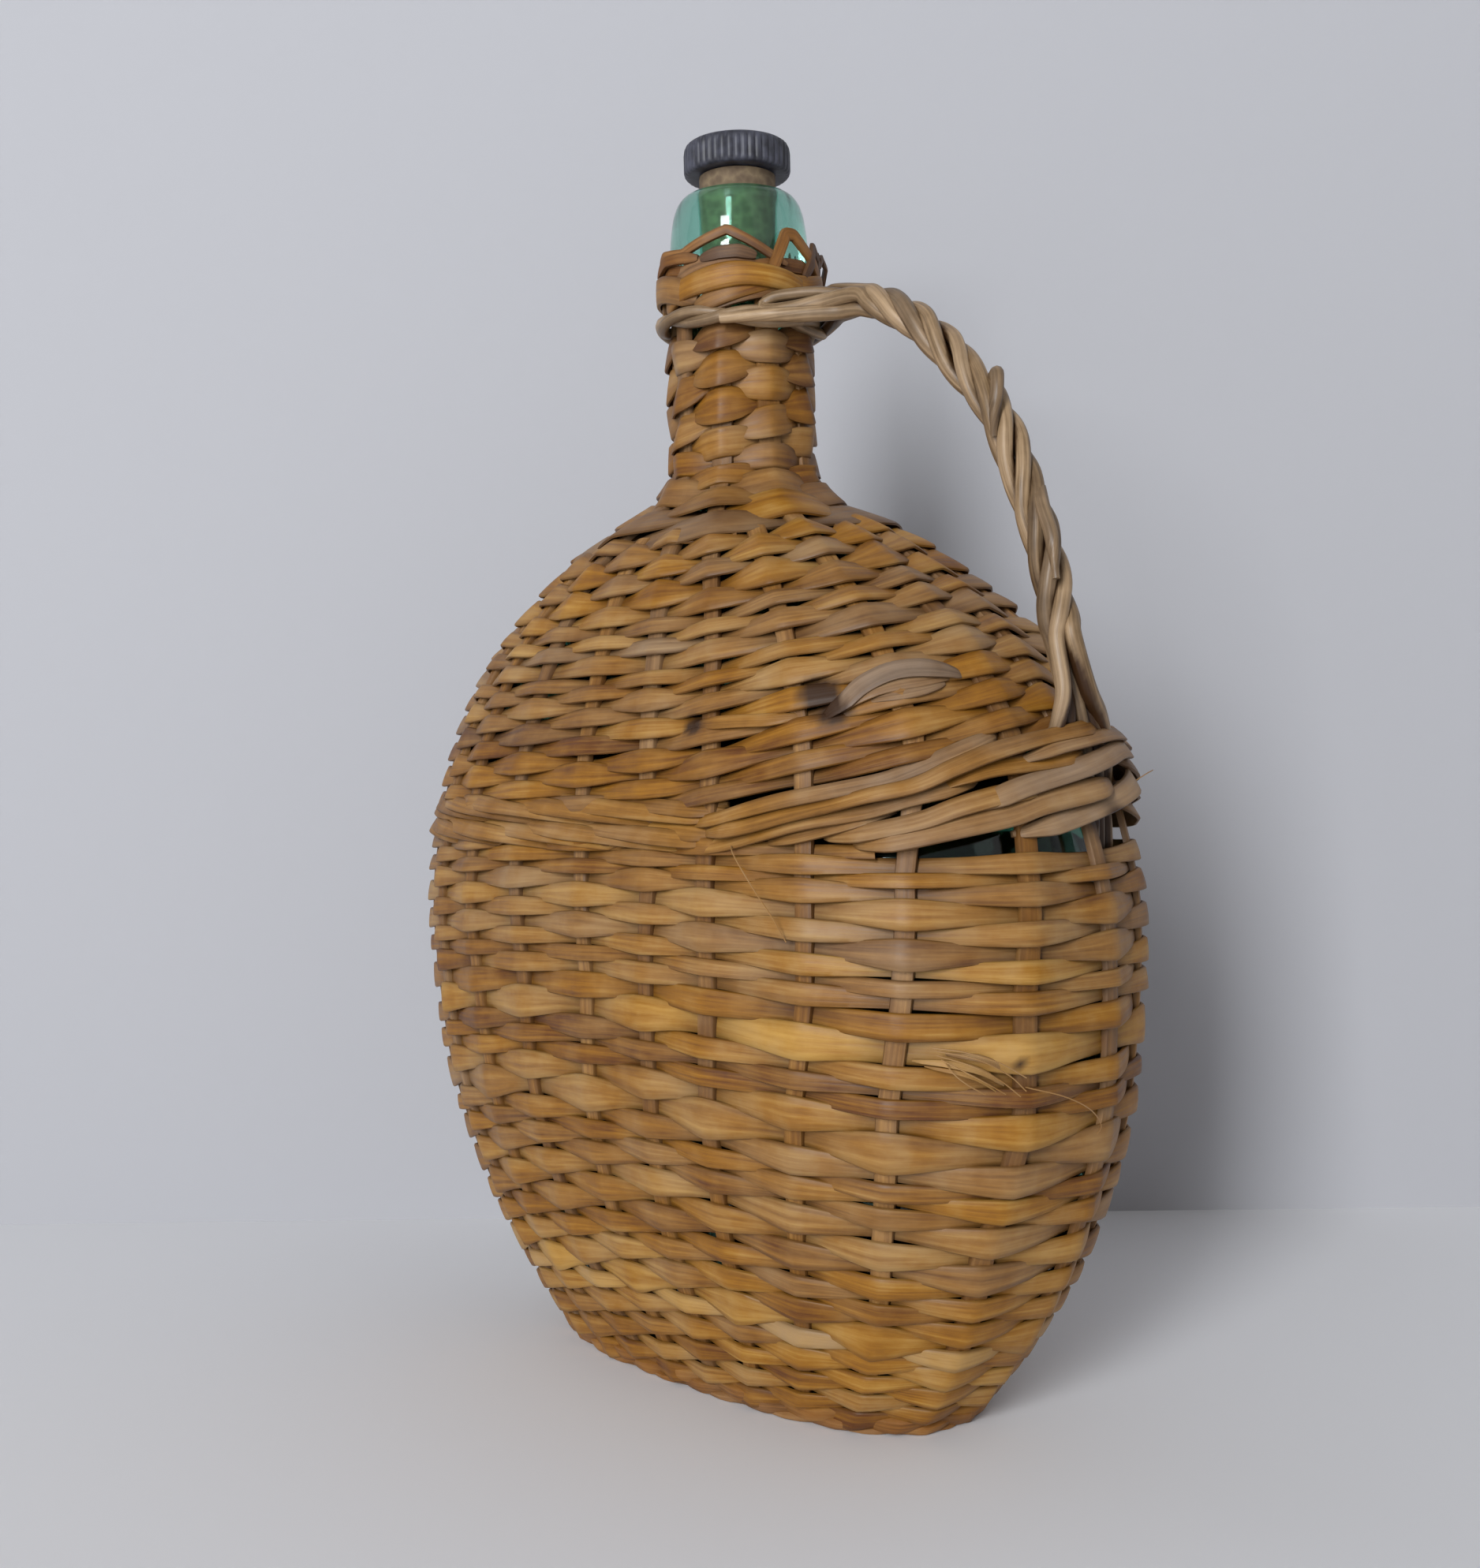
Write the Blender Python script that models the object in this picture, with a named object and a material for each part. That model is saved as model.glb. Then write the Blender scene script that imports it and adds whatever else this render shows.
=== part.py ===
"""Rattan-covered pilgrim flask: a flattened oval glass bottle in a woven cover of split rods.

Flat stakes rise from a thick foot border, and split rods weave in and out of them as one
climbing spiral, row over row, up the body and the neck. An odd number of stakes makes each
row pass behind the stakes that the row below passes over. A band of strands binds the foot
of the handle, which is four round rods twisted together, and a cork with a fluted head
closes the mouth. Lengths are in metres, Z is up, X points to the handle side and the origin
is the middle of the foot.
"""

import math

import bpy
from mathutils import Vector

# Clearances
CLEARANCE = 0.0003
GLASS_GAP = 0.0006
STAKE_SEAT = 0.0009

# Glass bottle
BODY_HEIGHT = 0.266
BODY_HALF_WIDTH = 0.1139
BODY_HALF_DEPTH = 0.0594
NECK_RADIUS = 0.0154
NECK_HEIGHT = 0.0455
GLASS_WALL = 0.0032
GLASS_FLOOR = 0.0060
HEEL_RADIUS = 0.0120
PUNT_RISE = 0.0030
COLLAR_HEIGHT = 0.0285
COLLAR_RADIUS = 0.0202
BORE_RADIUS = 0.0112
SECTION_POWER = 2.6
ROUND_POWER = 2.0

# Height, half width and half depth of the body beyond the neck, from the foot upwards
FLARE_SHARES = (
    (0.00, 0.506, 0.190),
    (0.08, 0.687, 0.400),
    (0.20, 0.855, 0.655),
    (0.35, 0.962, 0.895),
    (0.50, 1.000, 1.000),
    (0.62, 0.941, 0.939),
    (0.75, 0.777, 0.791),
    (0.86, 0.422, 0.560),
    (0.94, 0.080, 0.141),
    (0.98, 0.020, 0.030),
    (1.03, 0.000, 0.000),
    (1.30, 0.000, 0.000),
)
NECK_START_SHARE = 1.00
ROUNDING_START_SHARE = 0.70
SLOPE_STEP_SHARE = 0.004

# Height and radius along the collar, from its lower edge to the lip
COLLAR_SHARES = ((0.00, 0.98), (0.28, 1.00), (0.66, 0.94), (0.88, 0.87), (0.98, 0.76))
LIP_EDGE_SHARE = 0.4
LIP_BEVEL_SHARE = 0.3
BODY_RING_SHARES = (0.14, 0.30, 0.50, 0.65, 0.75, 0.83, 0.89, 0.93, 0.97)
INNER_RING_SHARES = (0.18, 0.48, 0.70, 0.82, 0.89, 0.95)

# Stopper
CORK_INSERTED = 0.0220
CORK_EXPOSED = 0.0062
CORK_TIP_RADIUS = 0.0102
CORK_CHAMFER = 0.0008
CORK_SIDES = 24
CAP_RADIUS = 0.0155
CAP_HEIGHT = 0.0090
CAP_EDGE = 0.0014
CAP_FLUTES = 44
CAP_FLUTE_DEPTH = 0.0005

# Foot
BASE_THICKNESS = 0.0044
BASE_INSET = 0.0018
BORDER_HEIGHT = 0.0070
BORDER_SCALLOP = 0.0005

# Reach and height round the border's section, from its inner upper edge outwards
BORDER_OUTLINE_SHARES = ((0.00, 0.63), (0.00, 0.00), (0.80, 0.00), (1.00, 0.35), (1.00, 0.75), (0.50, 1.00))

# Stakes
STAKE_COUNT = 23
STAKE_WIDTH = 0.0052
STAKE_THICKNESS = 0.0014
STAKE_PHASE = 0.0022
STAKE_SPACING_SHARE = 0.26
STAKE_RING_SHARES = (
    0.07, 0.14, 0.22, 0.30, 0.38, 0.46, 0.53, 0.60, 0.66, 0.71, 0.755, 0.79, 0.82, 0.845, 0.868,
)
NECK_STAKE_RINGS = 9
NECK_STAKE_COUNT = 9
NECK_STAKE_PHASE_SHARE = 0.65
NECK_GATHER_SHARES = (0.890, 0.960)
STAKE_FIRST_REACH_SHARE = 0.1
STAKE_END_SHARE = 0.890

# Weavers, the split rods that run round
WEFT_PITCH = 0.0066
WEFT_THICKNESS = 0.0013
WEFT_WIDTH_SHARE = 0.80
WEFT_END_GAP = 0.0010
NECK_WEFT_LIFT = 0.0005
NECK_WEFT_STEPS = 2
LOWER_WEFT_SHARE = 0.301
SHOULDER_WEFT_SHARE = 0.793
NECK_WEFT_DROP = 0.0153
COLLAR_WEFT_DROP = 0.0037
COLLAR_WEFT_WIDTH = 0.0050

# Band of strands that binds the foot of the handle
BAND_BOTTOM_SHARE = 0.578
BAND_HEIGHT = 0.0130
BAND_STRANDS = 4
BAND_REPEAT = 3
BAND_LIFT = 0.0185
LIFT_REACH = 0.1080
BAND_WIDTH_SHARE = 0.78
BAND_END_REACH = 0.0140

# Handle rods and the ring round the neck
ROD_COUNT = 4
ROD_RADIUS = 0.0022
ROD_SIDES = 5
ROD_TWIST_RADIUS = 0.0041
ROD_TWIST_PITCH = 0.0600
ROD_STEPS = 30
HANDLE_STAND_OUT = 0.0071
HANDLE_TOP_RISE = 0.0050
HANDLE_FOOT_RISE = 0.0042

# Reach and height along the handle's middle line, from the neck's ring to the cover
HANDLE_SHARES = (
    (0.060, 1.000),
    (0.281, 0.971),
    (0.435, 0.915),
    (0.590, 0.820),
    (0.700, 0.715),
    (0.785, 0.590),
    (0.848, 0.469),
    (0.905, 0.348),
    (0.968, 0.240),
    (0.985, 0.165),
)
HANDLE_START_SHARE = 0.98
HANDLE_SEAT_SHARE = 0.80
ROUTE_SPANS = 12
FAN_START_SHARE = 0.86
FAN_SPREAD_POWER = 0.7
FAN_FLATTEN_POWER = 1.3
FAN_SPACING = 0.0052
RING_DROP = 0.0115
RING_STRANDS = 2
RING_STRAND_RADIUS = 0.0013
RING_TWIST_RADIUS = 0.0016
RING_TURNS = 7
RING_STEPS = 32
RING_SIDES = 4

# Zigzag border at the top of the neck
NECK_BORDER_LIFT = 0.0017
NECK_BORDER_RISE = 0.0090
NECK_BORDER_WIDTH = 0.0030
NECK_BORDER_THICKNESS = 0.0012
ZIGZAG_SHARES = (1.0, 0.5, 0.0, 0.5)

# Reach and height round the zigzag's section, about its middle line
NECK_BORDER_OUTLINE_SHARES = ((0.0, -0.50), (0.0, 0.50), (1.0, 0.33), (1.0, -0.33))

# Places that follow from the sizes above
WEFT_IN = GLASS_GAP
STAKE_IN = WEFT_IN + WEFT_THICKNESS + STAKE_SEAT
WEFT_OUT = STAKE_IN + STAKE_THICKNESS + CLEARANCE
COVER_THICKNESS = WEFT_OUT + WEFT_THICKNESS
GLASS_BOTTOM = BASE_THICKNESS + CLEARANCE
COLLAR_BOTTOM = BODY_HEIGHT + NECK_HEIGHT
LIP_Z = COLLAR_BOTTOM + COLLAR_HEIGHT
CAP_BOTTOM = LIP_Z + CORK_EXPOSED
CORK_RADIUS = BORE_RADIUS - CLEARANCE
BAND_BOTTOM = BODY_HEIGHT * BAND_BOTTOM_SHARE
COLLAR_WEFT_Z = COLLAR_BOTTOM - COLLAR_WEFT_DROP
RING_Z = COLLAR_BOTTOM - RING_DROP
HANDLE_REACH = BODY_HALF_WIDTH + HANDLE_STAND_OUT
HANDLE_TOP = RING_Z + HANDLE_TOP_RISE
HANDLE_FOOT = BAND_BOTTOM + HANDLE_FOOT_RISE


def clear_objects():
    """Start from an empty scene."""
    for item in list(bpy.data.objects):
        bpy.data.objects.remove(item, do_unlink=True)


def material(name, colour, roughness, transmission=0.0):
    """Make a Principled material with one colour."""
    made = bpy.data.materials.new(name)
    made.use_nodes = True
    shader = made.node_tree.nodes["Principled BSDF"]
    shader.inputs["Base Color"].default_value = (*colour, 1.0)
    shader.inputs["Roughness"].default_value = roughness
    shader.inputs["Metallic"].default_value = 0.0
    shader.inputs["Transmission Weight"].default_value = transmission
    made.diffuse_color = (*colour, 1.0)
    return made


def make_materials():
    """Give each kind of piece its colour and finish."""
    return {
        "glass": material("teal_bottle_glass", (0.06, 0.30, 0.24), 0.06, 0.85),
        "cork": material("agglomerated_cork", (0.42, 0.26, 0.12), 0.85),
        "cap": material("slate_moulded_plastic", (0.035, 0.037, 0.050), 0.45),
        "stake": material("split_willow_stake", (0.40, 0.21, 0.075), 0.60),
        "weft": material("split_willow_weaver", (0.45, 0.23, 0.075), 0.55),
        "band": material("weathered_willow_strand", (0.34, 0.22, 0.13), 0.65),
        "rod": material("peeled_willow_rod", (0.48, 0.30, 0.15), 0.45),
        "border": material("dark_willow_border", (0.30, 0.14, 0.05), 0.60),
    }


def smoothstep(value):
    """Ease from nought to one."""
    value = min(1.0, max(0.0, value))
    return value * value * (3.0 - 2.0 * value)


def mix(first, second, share):
    """Blend two numbers or vectors."""
    return first * (1.0 - share) + second * share


def curve_slopes(rows, column):
    """Return slopes at each row that keep a cubic through them from overshooting."""
    gaps = [b[0] - a[0] for a, b in zip(rows, rows[1:])]
    steps = [(b[column] - a[column]) / gap for a, b, gap in zip(rows, rows[1:], gaps)]
    slopes = [steps[0]]
    for before, after, left, right in zip(steps, steps[1:], gaps, gaps[1:]):
        if before * after <= 0.0:
            slopes.append(0.0)
            continue
        near, far = 2.0 * right + left, right + 2.0 * left
        slopes.append((near + far) / (near / before + far / after))
    slopes.append(steps[-1])
    return slopes


FLARE_SLOPES = {column: curve_slopes(FLARE_SHARES, column) for column in (1, 2)}


def flare(height_share, column):
    """Read one column of the body's outline at a share of the body's height."""
    rows = FLARE_SHARES
    height_share = min(max(height_share, rows[0][0]), rows[-1][0])
    index = 0
    while index < len(rows) - 2 and rows[index + 1][0] < height_share:
        index += 1
    low, high = rows[index], rows[index + 1]
    gap = high[0] - low[0]
    t = (height_share - low[0]) / gap
    slope_low = FLARE_SLOPES[column][index] * gap
    slope_high = FLARE_SLOPES[column][index + 1] * gap
    return (
        low[column] * (1.0 + 2.0 * t) * (1.0 - t) ** 2
        + slope_low * t * (1.0 - t) ** 2
        + high[column] * t * t * (3.0 - 2.0 * t)
        + slope_high * t * t * (t - 1.0)
    )


def roundness(height):
    """Nought where the section is the body's squarish oval, one where it is a true circle."""
    share = height / BODY_HEIGHT
    return smoothstep((share - ROUNDING_START_SHARE) / (NECK_START_SHARE - ROUNDING_START_SHARE))


def section_point(height, angle, inset=0.0):
    """Point on the bottle's wall at a height and angle, drawn in by an inset."""
    share = height / BODY_HEIGHT
    half_width = NECK_RADIUS + (BODY_HALF_WIDTH - NECK_RADIUS) * flare(share, 1) - inset
    half_depth = NECK_RADIUS + (BODY_HALF_DEPTH - NECK_RADIUS) * flare(share, 2) - inset
    power = 2.0 / mix(SECTION_POWER, ROUND_POWER, roundness(height))
    across, along = math.cos(angle), math.sin(angle)
    return Vector((
        math.copysign(half_width * abs(across) ** power, across),
        math.copysign(half_depth * abs(along) ** power, along),
        height,
    ))


def turn_table(samples=1440):
    """Distance round the widest section, sampled at even angles from the handle side."""
    middle = BODY_HEIGHT * 0.5
    points = [section_point(middle, 2.0 * math.pi * i / samples) for i in range(samples + 1)]
    distances = [0.0]
    for before, after in zip(points, points[1:]):
        distances.append(distances[-1] + (after - before).length)
    return distances


TURN_DISTANCES = turn_table()
GIRTH = TURN_DISTANCES[-1]


def turn_angle(turn, height):
    """Angle at a share of the way round: even distances on the body, even angles on the neck."""
    whole = math.floor(turn)
    target = (turn - whole) * GIRTH
    low, high = 0, len(TURN_DISTANCES) - 1
    while high - low > 1:
        middle = (low + high) // 2
        if TURN_DISTANCES[middle] <= target:
            low = middle
        else:
            high = middle
    part = (target - TURN_DISTANCES[low]) / (TURN_DISTANCES[high] - TURN_DISTANCES[low])
    even_distance = whole + (low + part) / (len(TURN_DISTANCES) - 1)
    return 2.0 * math.pi * mix(even_distance, turn, roundness(height))


def wall_point(height, turn, offset=0.0):
    """Point over the bottle's wall, raised from it along the wall's normal."""
    point = section_point(height, turn_angle(turn, height))
    if offset == 0.0:
        return point
    return point + wall_normal(height, turn) * offset


def wall_normal(height, turn):
    """Outward normal of the bottle's wall."""
    rise = BODY_HEIGHT * SLOPE_STEP_SHARE
    after, before = turn + SLOPE_STEP_SHARE, turn - SLOPE_STEP_SHARE
    around = wall_point(height, after) - wall_point(height, before)
    up = wall_point(height + rise, turn) - wall_point(height - rise, turn)
    return around.cross(up).normalized()


def climb_table(samples=400):
    """Distance up the wall, averaged over the narrow side and the broad face."""
    top = BODY_HEIGHT * FLARE_SHARES[-1][0]
    heights = [top * i / samples for i in range(samples + 1)]
    climbs = [0.0]
    for low, high in zip(heights, heights[1:]):
        total = 0.0
        for turn in (0.0, 0.25):
            total += (wall_point(high, turn) - wall_point(low, turn)).length
        climbs.append(climbs[-1] + total / 2.0)
    return heights, climbs


CLIMB_HEIGHTS, CLIMBS = climb_table()


def read_table(keys, values, key):
    """Read a rising table by straight-line interpolation."""
    low, high = 0, len(keys) - 1
    while high - low > 1:
        middle = (low + high) // 2
        if keys[middle] <= key:
            low = middle
        else:
            high = middle
    part = (key - keys[low]) / (keys[high] - keys[low])
    return mix(values[low], values[high], part)


def climb_of(height):
    """Distance up the wall at a height."""
    return read_table(CLIMB_HEIGHTS, CLIMBS, height)


def height_of(climb):
    """Height at a distance up the wall."""
    return read_table(CLIMBS, CLIMB_HEIGHTS, climb)


def handle_lift(height, turn):
    """How far the rows are raised over the strands that bind the handle's foot."""
    distance = abs(turn - round(turn)) * GIRTH
    near = max(0.0, 1.0 - distance / LIFT_REACH)
    band_top = BAND_BOTTOM + BAND_HEIGHT
    if height <= band_top:
        ramp = max(0.0, (height - BAND_BOTTOM) / BAND_HEIGHT)
    else:
        ramp = max(0.0, 1.0 - (height - band_top) / (BODY_HEIGHT * STAKE_END_SHARE - band_top))
    return BAND_LIFT * near * ramp


def loft(name, rings, surface, closed=False, origin=None, sharp_degrees=50.0):
    """Join rings of equal count into one solid, with flat ends unless it closes on itself."""
    origin = origin or Vector((0.0, 0.0, 0.0))
    count = len(rings[0])
    vertices = [tuple(point - origin) for ring in rings for point in ring]
    faces = []
    spans = len(rings) if closed else len(rings) - 1
    for i in range(spans):
        base, above = i * count, ((i + 1) % len(rings)) * count
        for j in range(count):
            k = (j + 1) % count
            faces.append((base + j, base + k, above + k, above + j))
    if not closed:
        faces.append(tuple(reversed(range(count))))
        last = (len(rings) - 1) * count
        faces.append(tuple(range(last, last + count)))
    return solid(name, vertices, faces, surface, origin, sharp_degrees)


def solid(name, vertices, faces, surface, origin, sharp_degrees=50.0):
    """Make one shaded object from points and faces that enclose a space."""
    mesh = bpy.data.meshes.new(name)
    mesh.from_pydata(vertices, [], faces)
    mesh.validate()
    volume = 0.0
    for face in mesh.polygons:
        corners = [mesh.vertices[i].co for i in face.vertices]
        for second, third in zip(corners[1:], corners[2:]):
            volume += corners[0].dot(second.cross(third))
    if volume < 0.0:
        mesh.flip_normals()
    mesh.shade_smooth()
    mesh.set_sharp_from_angle(angle=math.radians(sharp_degrees))
    made = bpy.data.objects.new(name, mesh)
    made.location = origin
    made.data.materials.append(surface)
    bpy.context.scene.collection.objects.link(made)
    return made


def glass_ring(height, inset=0.0, z=None):
    """Ring of the bottle, with a corner at each stake and one between each two."""
    sides = 2 * STAKE_COUNT
    points = []
    for i in range(sides):
        turn = STAKE_PHASE / GIRTH + i / sides
        point = section_point(height, turn_angle(turn, height), inset)
        if z is not None:
            point.z = z
        points.append(point)
    return points


def inner_ring(height):
    """Ring of the bottle's inner wall, one wall's thickness in from the outer."""
    sides = 2 * STAKE_COUNT
    turns = [STAKE_PHASE / GIRTH + i / sides for i in range(sides)]
    return [wall_point(height, turn, -GLASS_WALL) for turn in turns]


def round_ring(radius, z):
    """Circle with the same corners as the bottle's rings."""
    sides = 2 * STAKE_COUNT
    angles = [2.0 * math.pi * (STAKE_PHASE / GIRTH + i / sides) for i in range(sides)]
    return [Vector((radius * math.cos(a), radius * math.sin(a), z)) for a in angles]


def even_round_ring(radius, z, sides, wave=0.0):
    """Circle of even sides, with every second corner drawn in by a wave."""
    points = []
    for i in range(sides):
        angle = 2.0 * math.pi * i / sides
        reach = radius - (wave if i % 2 else 0.0)
        points.append(Vector((reach * math.cos(angle), reach * math.sin(angle), z)))
    return points


def make_bottle(surface):
    """Hollow flattened bottle, open at its mouth, with a thick rounded collar."""
    heel_top = GLASS_BOTTOM + HEEL_RADIUS
    slope = HEEL_RADIUS * (1.0 - math.sqrt(0.5))
    rings = [
        glass_ring(GLASS_BOTTOM, 2.0 * HEEL_RADIUS, GLASS_BOTTOM + PUNT_RISE),
        glass_ring(GLASS_BOTTOM, HEEL_RADIUS, GLASS_BOTTOM),
        glass_ring(GLASS_BOTTOM + slope, slope),
        glass_ring(heel_top),
    ]
    rings += [glass_ring(share * BODY_HEIGHT) for share in BODY_RING_SHARES]
    rings.append(round_ring(NECK_RADIUS, FLARE_SHARES[-2][0] * BODY_HEIGHT))
    rings.append(round_ring(NECK_RADIUS, COLLAR_BOTTOM))
    for height, radius in COLLAR_SHARES:
        rings.append(round_ring(COLLAR_RADIUS * radius, COLLAR_BOTTOM + COLLAR_HEIGHT * height))
    rings.append(round_ring(BORE_RADIUS + GLASS_WALL * LIP_EDGE_SHARE, LIP_Z))
    rings.append(round_ring(BORE_RADIUS, LIP_Z - GLASS_WALL * LIP_BEVEL_SHARE))
    rings.append(round_ring(BORE_RADIUS, COLLAR_BOTTOM))
    rings.append(round_ring(NECK_RADIUS - GLASS_WALL, COLLAR_BOTTOM - GLASS_WALL))
    rings.append(round_ring(NECK_RADIUS - GLASS_WALL, FLARE_SHARES[-2][0] * BODY_HEIGHT))
    rings += [inner_ring(share * BODY_HEIGHT) for share in reversed(INNER_RING_SHARES)]
    floor = GLASS_BOTTOM + GLASS_FLOOR
    rings.append(glass_ring(heel_top, GLASS_WALL * 2.0))
    rings.append(glass_ring(floor, HEEL_RADIUS, floor))
    return loft("glass_bottle", rings, surface)


def make_stopper(cork_surface, cap_surface):
    """Tapered cork with a fluted head, both turned about the mouth's axis."""
    origin = Vector((0.0, 0.0, LIP_Z))
    tip = LIP_Z - CORK_INSERTED
    cork = [
        even_round_ring(CORK_TIP_RADIUS - CORK_CHAMFER, tip, CORK_SIDES),
        even_round_ring(CORK_TIP_RADIUS, tip + CORK_CHAMFER, CORK_SIDES),
        even_round_ring(CORK_RADIUS, LIP_Z - CORK_CHAMFER, CORK_SIDES),
        even_round_ring(CORK_RADIUS, CAP_BOTTOM - CLEARANCE, CORK_SIDES),
    ]
    loft("stopper_cork", cork, cork_surface, origin=origin)
    sides = 2 * CAP_FLUTES
    top = CAP_BOTTOM + CAP_HEIGHT
    diagonal = CAP_EDGE * (1.0 - math.sqrt(0.5))
    cap = [
        even_round_ring(CAP_RADIUS - CAP_EDGE, CAP_BOTTOM, sides),
        even_round_ring(CAP_RADIUS, CAP_BOTTOM + diagonal, sides, CAP_FLUTE_DEPTH),
        even_round_ring(CAP_RADIUS, top - CAP_EDGE, sides, CAP_FLUTE_DEPTH),
        even_round_ring(CAP_RADIUS - diagonal, top - diagonal, sides),
        even_round_ring(CAP_RADIUS - CAP_EDGE, top, sides),
    ]
    loft("stopper_cap", cap, cap_surface, origin=origin, sharp_degrees=35.0)


def make_foot(base_surface, border_surface):
    """Flat woven bottom and the thick scalloped border round it, both resting on the table."""
    sides = 2 * STAKE_COUNT
    turns = [STAKE_PHASE / GIRTH + i / sides for i in range(sides)]
    base = [
        [flat_point(turn, -BASE_INSET, 0.0) for turn in turns],
        [flat_point(turn, -BASE_INSET, BASE_THICKNESS) for turn in turns],
    ]
    loft("base_weave", base, base_surface)
    inner = CLEARANCE - BASE_INSET
    rings = []
    for index, turn in enumerate(turns):
        outer = COVER_THICKNESS - (BORDER_SCALLOP if index % 2 else 0.0)
        rings.append([
            flat_point(turn, mix(inner, outer, reach), BORDER_HEIGHT * rise)
            for reach, rise in BORDER_OUTLINE_SHARES
        ])
    loft("foot_border", rings, border_surface, closed=True)


def flat_point(turn, offset, z):
    """Point beside the foot's section, moved level with the table."""
    normal = wall_normal(BORDER_HEIGHT, turn)
    level = Vector((normal.x, normal.y, 0.0)).normalized()
    point = wall_point(0.0, turn) + level * offset
    point.z = z
    return point


def neck_order():
    """Stakes that climb on to the neck, each with its even place round the neck."""
    places = {}
    for i in range(NECK_STAKE_COUNT):
        turn = (i + NECK_STAKE_PHASE_SHARE) / NECK_STAKE_COUNT
        index = round((turn - STAKE_PHASE / GIRTH) * STAKE_COUNT) % STAKE_COUNT
        places[index] = turn
    return places


NECK_PLACES = neck_order()


def stake_turn(index, height):
    """Place of a stake round the bottle at a height."""
    turn = STAKE_PHASE / GIRTH + index / STAKE_COUNT
    key = index % STAKE_COUNT
    if key not in NECK_PLACES:
        return turn
    low, high = NECK_GATHER_SHARES
    gathered = smoothstep((height / BODY_HEIGHT - low) / (high - low))
    target = NECK_PLACES[key]
    target += round(turn - target)
    return mix(turn, target, gathered)


def stake_reach(height, turn, on_neck):
    """Half a stake's width, as a share of the way round; stakes narrow where they crowd."""
    count = NECK_STAKE_COUNT if on_neck else STAKE_COUNT
    reach = STAKE_FIRST_REACH_SHARE / STAKE_COUNT
    for _ in range(3):
        span = (wall_point(height, turn + reach) - wall_point(height, turn - reach)).length
        spacing = span / (2.0 * reach * count)
        reach *= min(STAKE_WIDTH, spacing * STAKE_SPACING_SHARE) / span
    return reach


def stake_heights(climbs_neck):
    """Heights of a stake's rings, closer together where the wall bends most."""
    end = BODY_HEIGHT * STAKE_END_SHARE
    heights = [BORDER_HEIGHT + CLEARANCE]
    heights += [share * BODY_HEIGHT for share in STAKE_RING_SHARES]
    heights.append(end)
    if climbs_neck:
        low, high = climb_of(end), climb_of(COLLAR_BOTTOM - CLEARANCE)
        heights += [
            height_of(mix(low, high, i / NECK_STAKE_RINGS)) for i in range(1, NECK_STAKE_RINGS + 1)
        ]
    return heights


def make_stake(index, surface):
    """One flat stake, its flat side to the glass and a low crown outside."""
    rings = []
    for height in stake_heights(index in NECK_PLACES):
        turn = stake_turn(index, height)
        reach = stake_reach(height, turn, height > BODY_HEIGHT * STAKE_END_SHARE)
        rings.append([
            wall_point(height, turn - reach, STAKE_IN),
            wall_point(height, turn + reach, STAKE_IN),
            wall_point(height, turn, STAKE_IN + STAKE_THICKNESS),
        ])
    return loft(f"stake_{index + 1:02d}", rings, surface, sharp_degrees=80.0)


def split_ring(turn, low, middle, high, offset):
    """Cross-section of a split rod: flat side to the glass, crown outside."""
    return [
        wall_point(low, turn, offset),
        wall_point(high, turn, offset),
        wall_point(middle, turn, offset + WEFT_THICKNESS),
    ]


def spiral_height(climb, turn):
    """Height of a row, raised where it passes over the handle's band."""
    height = height_of(climb)
    return height + handle_lift(height, turn)


def weaver_rings(stations, bottom, pitch, first, last, steps=1, lift=0.0):
    """Rings of a weaver from one crossing to another, in front of and behind stakes in turn."""
    def crossing_turn(crossing, climb):
        station = stations[crossing % len(stations)]
        return stake_turn(station, height_of(climb)) + crossing // len(stations)

    def crossing_offset(crossing):
        return (WEFT_IN if crossing % 2 else WEFT_OUT) + lift

    def ring_at(place):
        low = math.floor(place)
        climb = bottom + pitch * (0.5 + place / len(stations))
        turn = mix(crossing_turn(low, climb), crossing_turn(low + 1, climb), place - low)
        offset = mix(crossing_offset(low), crossing_offset(low + 1), place - low)
        half = pitch * WEFT_WIDTH_SHARE / 2.0
        heights = [spiral_height(climb + step, turn) for step in (-half, 0.0, half)]
        return split_ring(turn, *heights, offset)

    places = [first]
    places += [i / steps for i in range(math.floor(first * steps) + 1, math.ceil(last * steps))]
    places.append(last)
    return [ring_at(place) for place in places]


def between(first, second, share):
    """Ring part of the way from one ring to the next."""
    return [mix(a, b, share) for a, b in zip(first, second)]


def zone(bottom_height, top_height):
    """Climb at which rows start, their even pitch and their number."""
    bottom, top = climb_of(bottom_height), climb_of(top_height)
    rows = max(1, round((top - bottom) / WEFT_PITCH))
    return bottom, (top - bottom) / rows, rows


def make_weavers(surface):
    """Spiral weavers of the body: each zone is one spiral, cut where a new rod takes over."""
    stations = list(range(STAKE_COUNT))
    zones = (
        (BORDER_HEIGHT + CLEARANCE, BAND_BOTTOM, LOWER_WEFT_SHARE, "weft_lower", "weft_middle"),
        (BAND_BOTTOM + BAND_HEIGHT, BODY_HEIGHT * STAKE_END_SHARE, SHOULDER_WEFT_SHARE,
         "weft_upper", "weft_shoulder"),
    )
    for low, high, join_share, lower_name, upper_name in zones:
        bottom, pitch, rows = zone(low, high)
        last = (rows - 1) * STAKE_COUNT
        join = round((climb_of(BODY_HEIGHT * join_share) - bottom) / pitch) * STAKE_COUNT + 0.5
        gap = WEFT_END_GAP * STAKE_COUNT / GIRTH
        loft(lower_name, weaver_rings(stations, bottom, pitch, 0, join - gap), surface)
        loft(upper_name, weaver_rings(stations, bottom, pitch, join + gap, last), surface)


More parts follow.
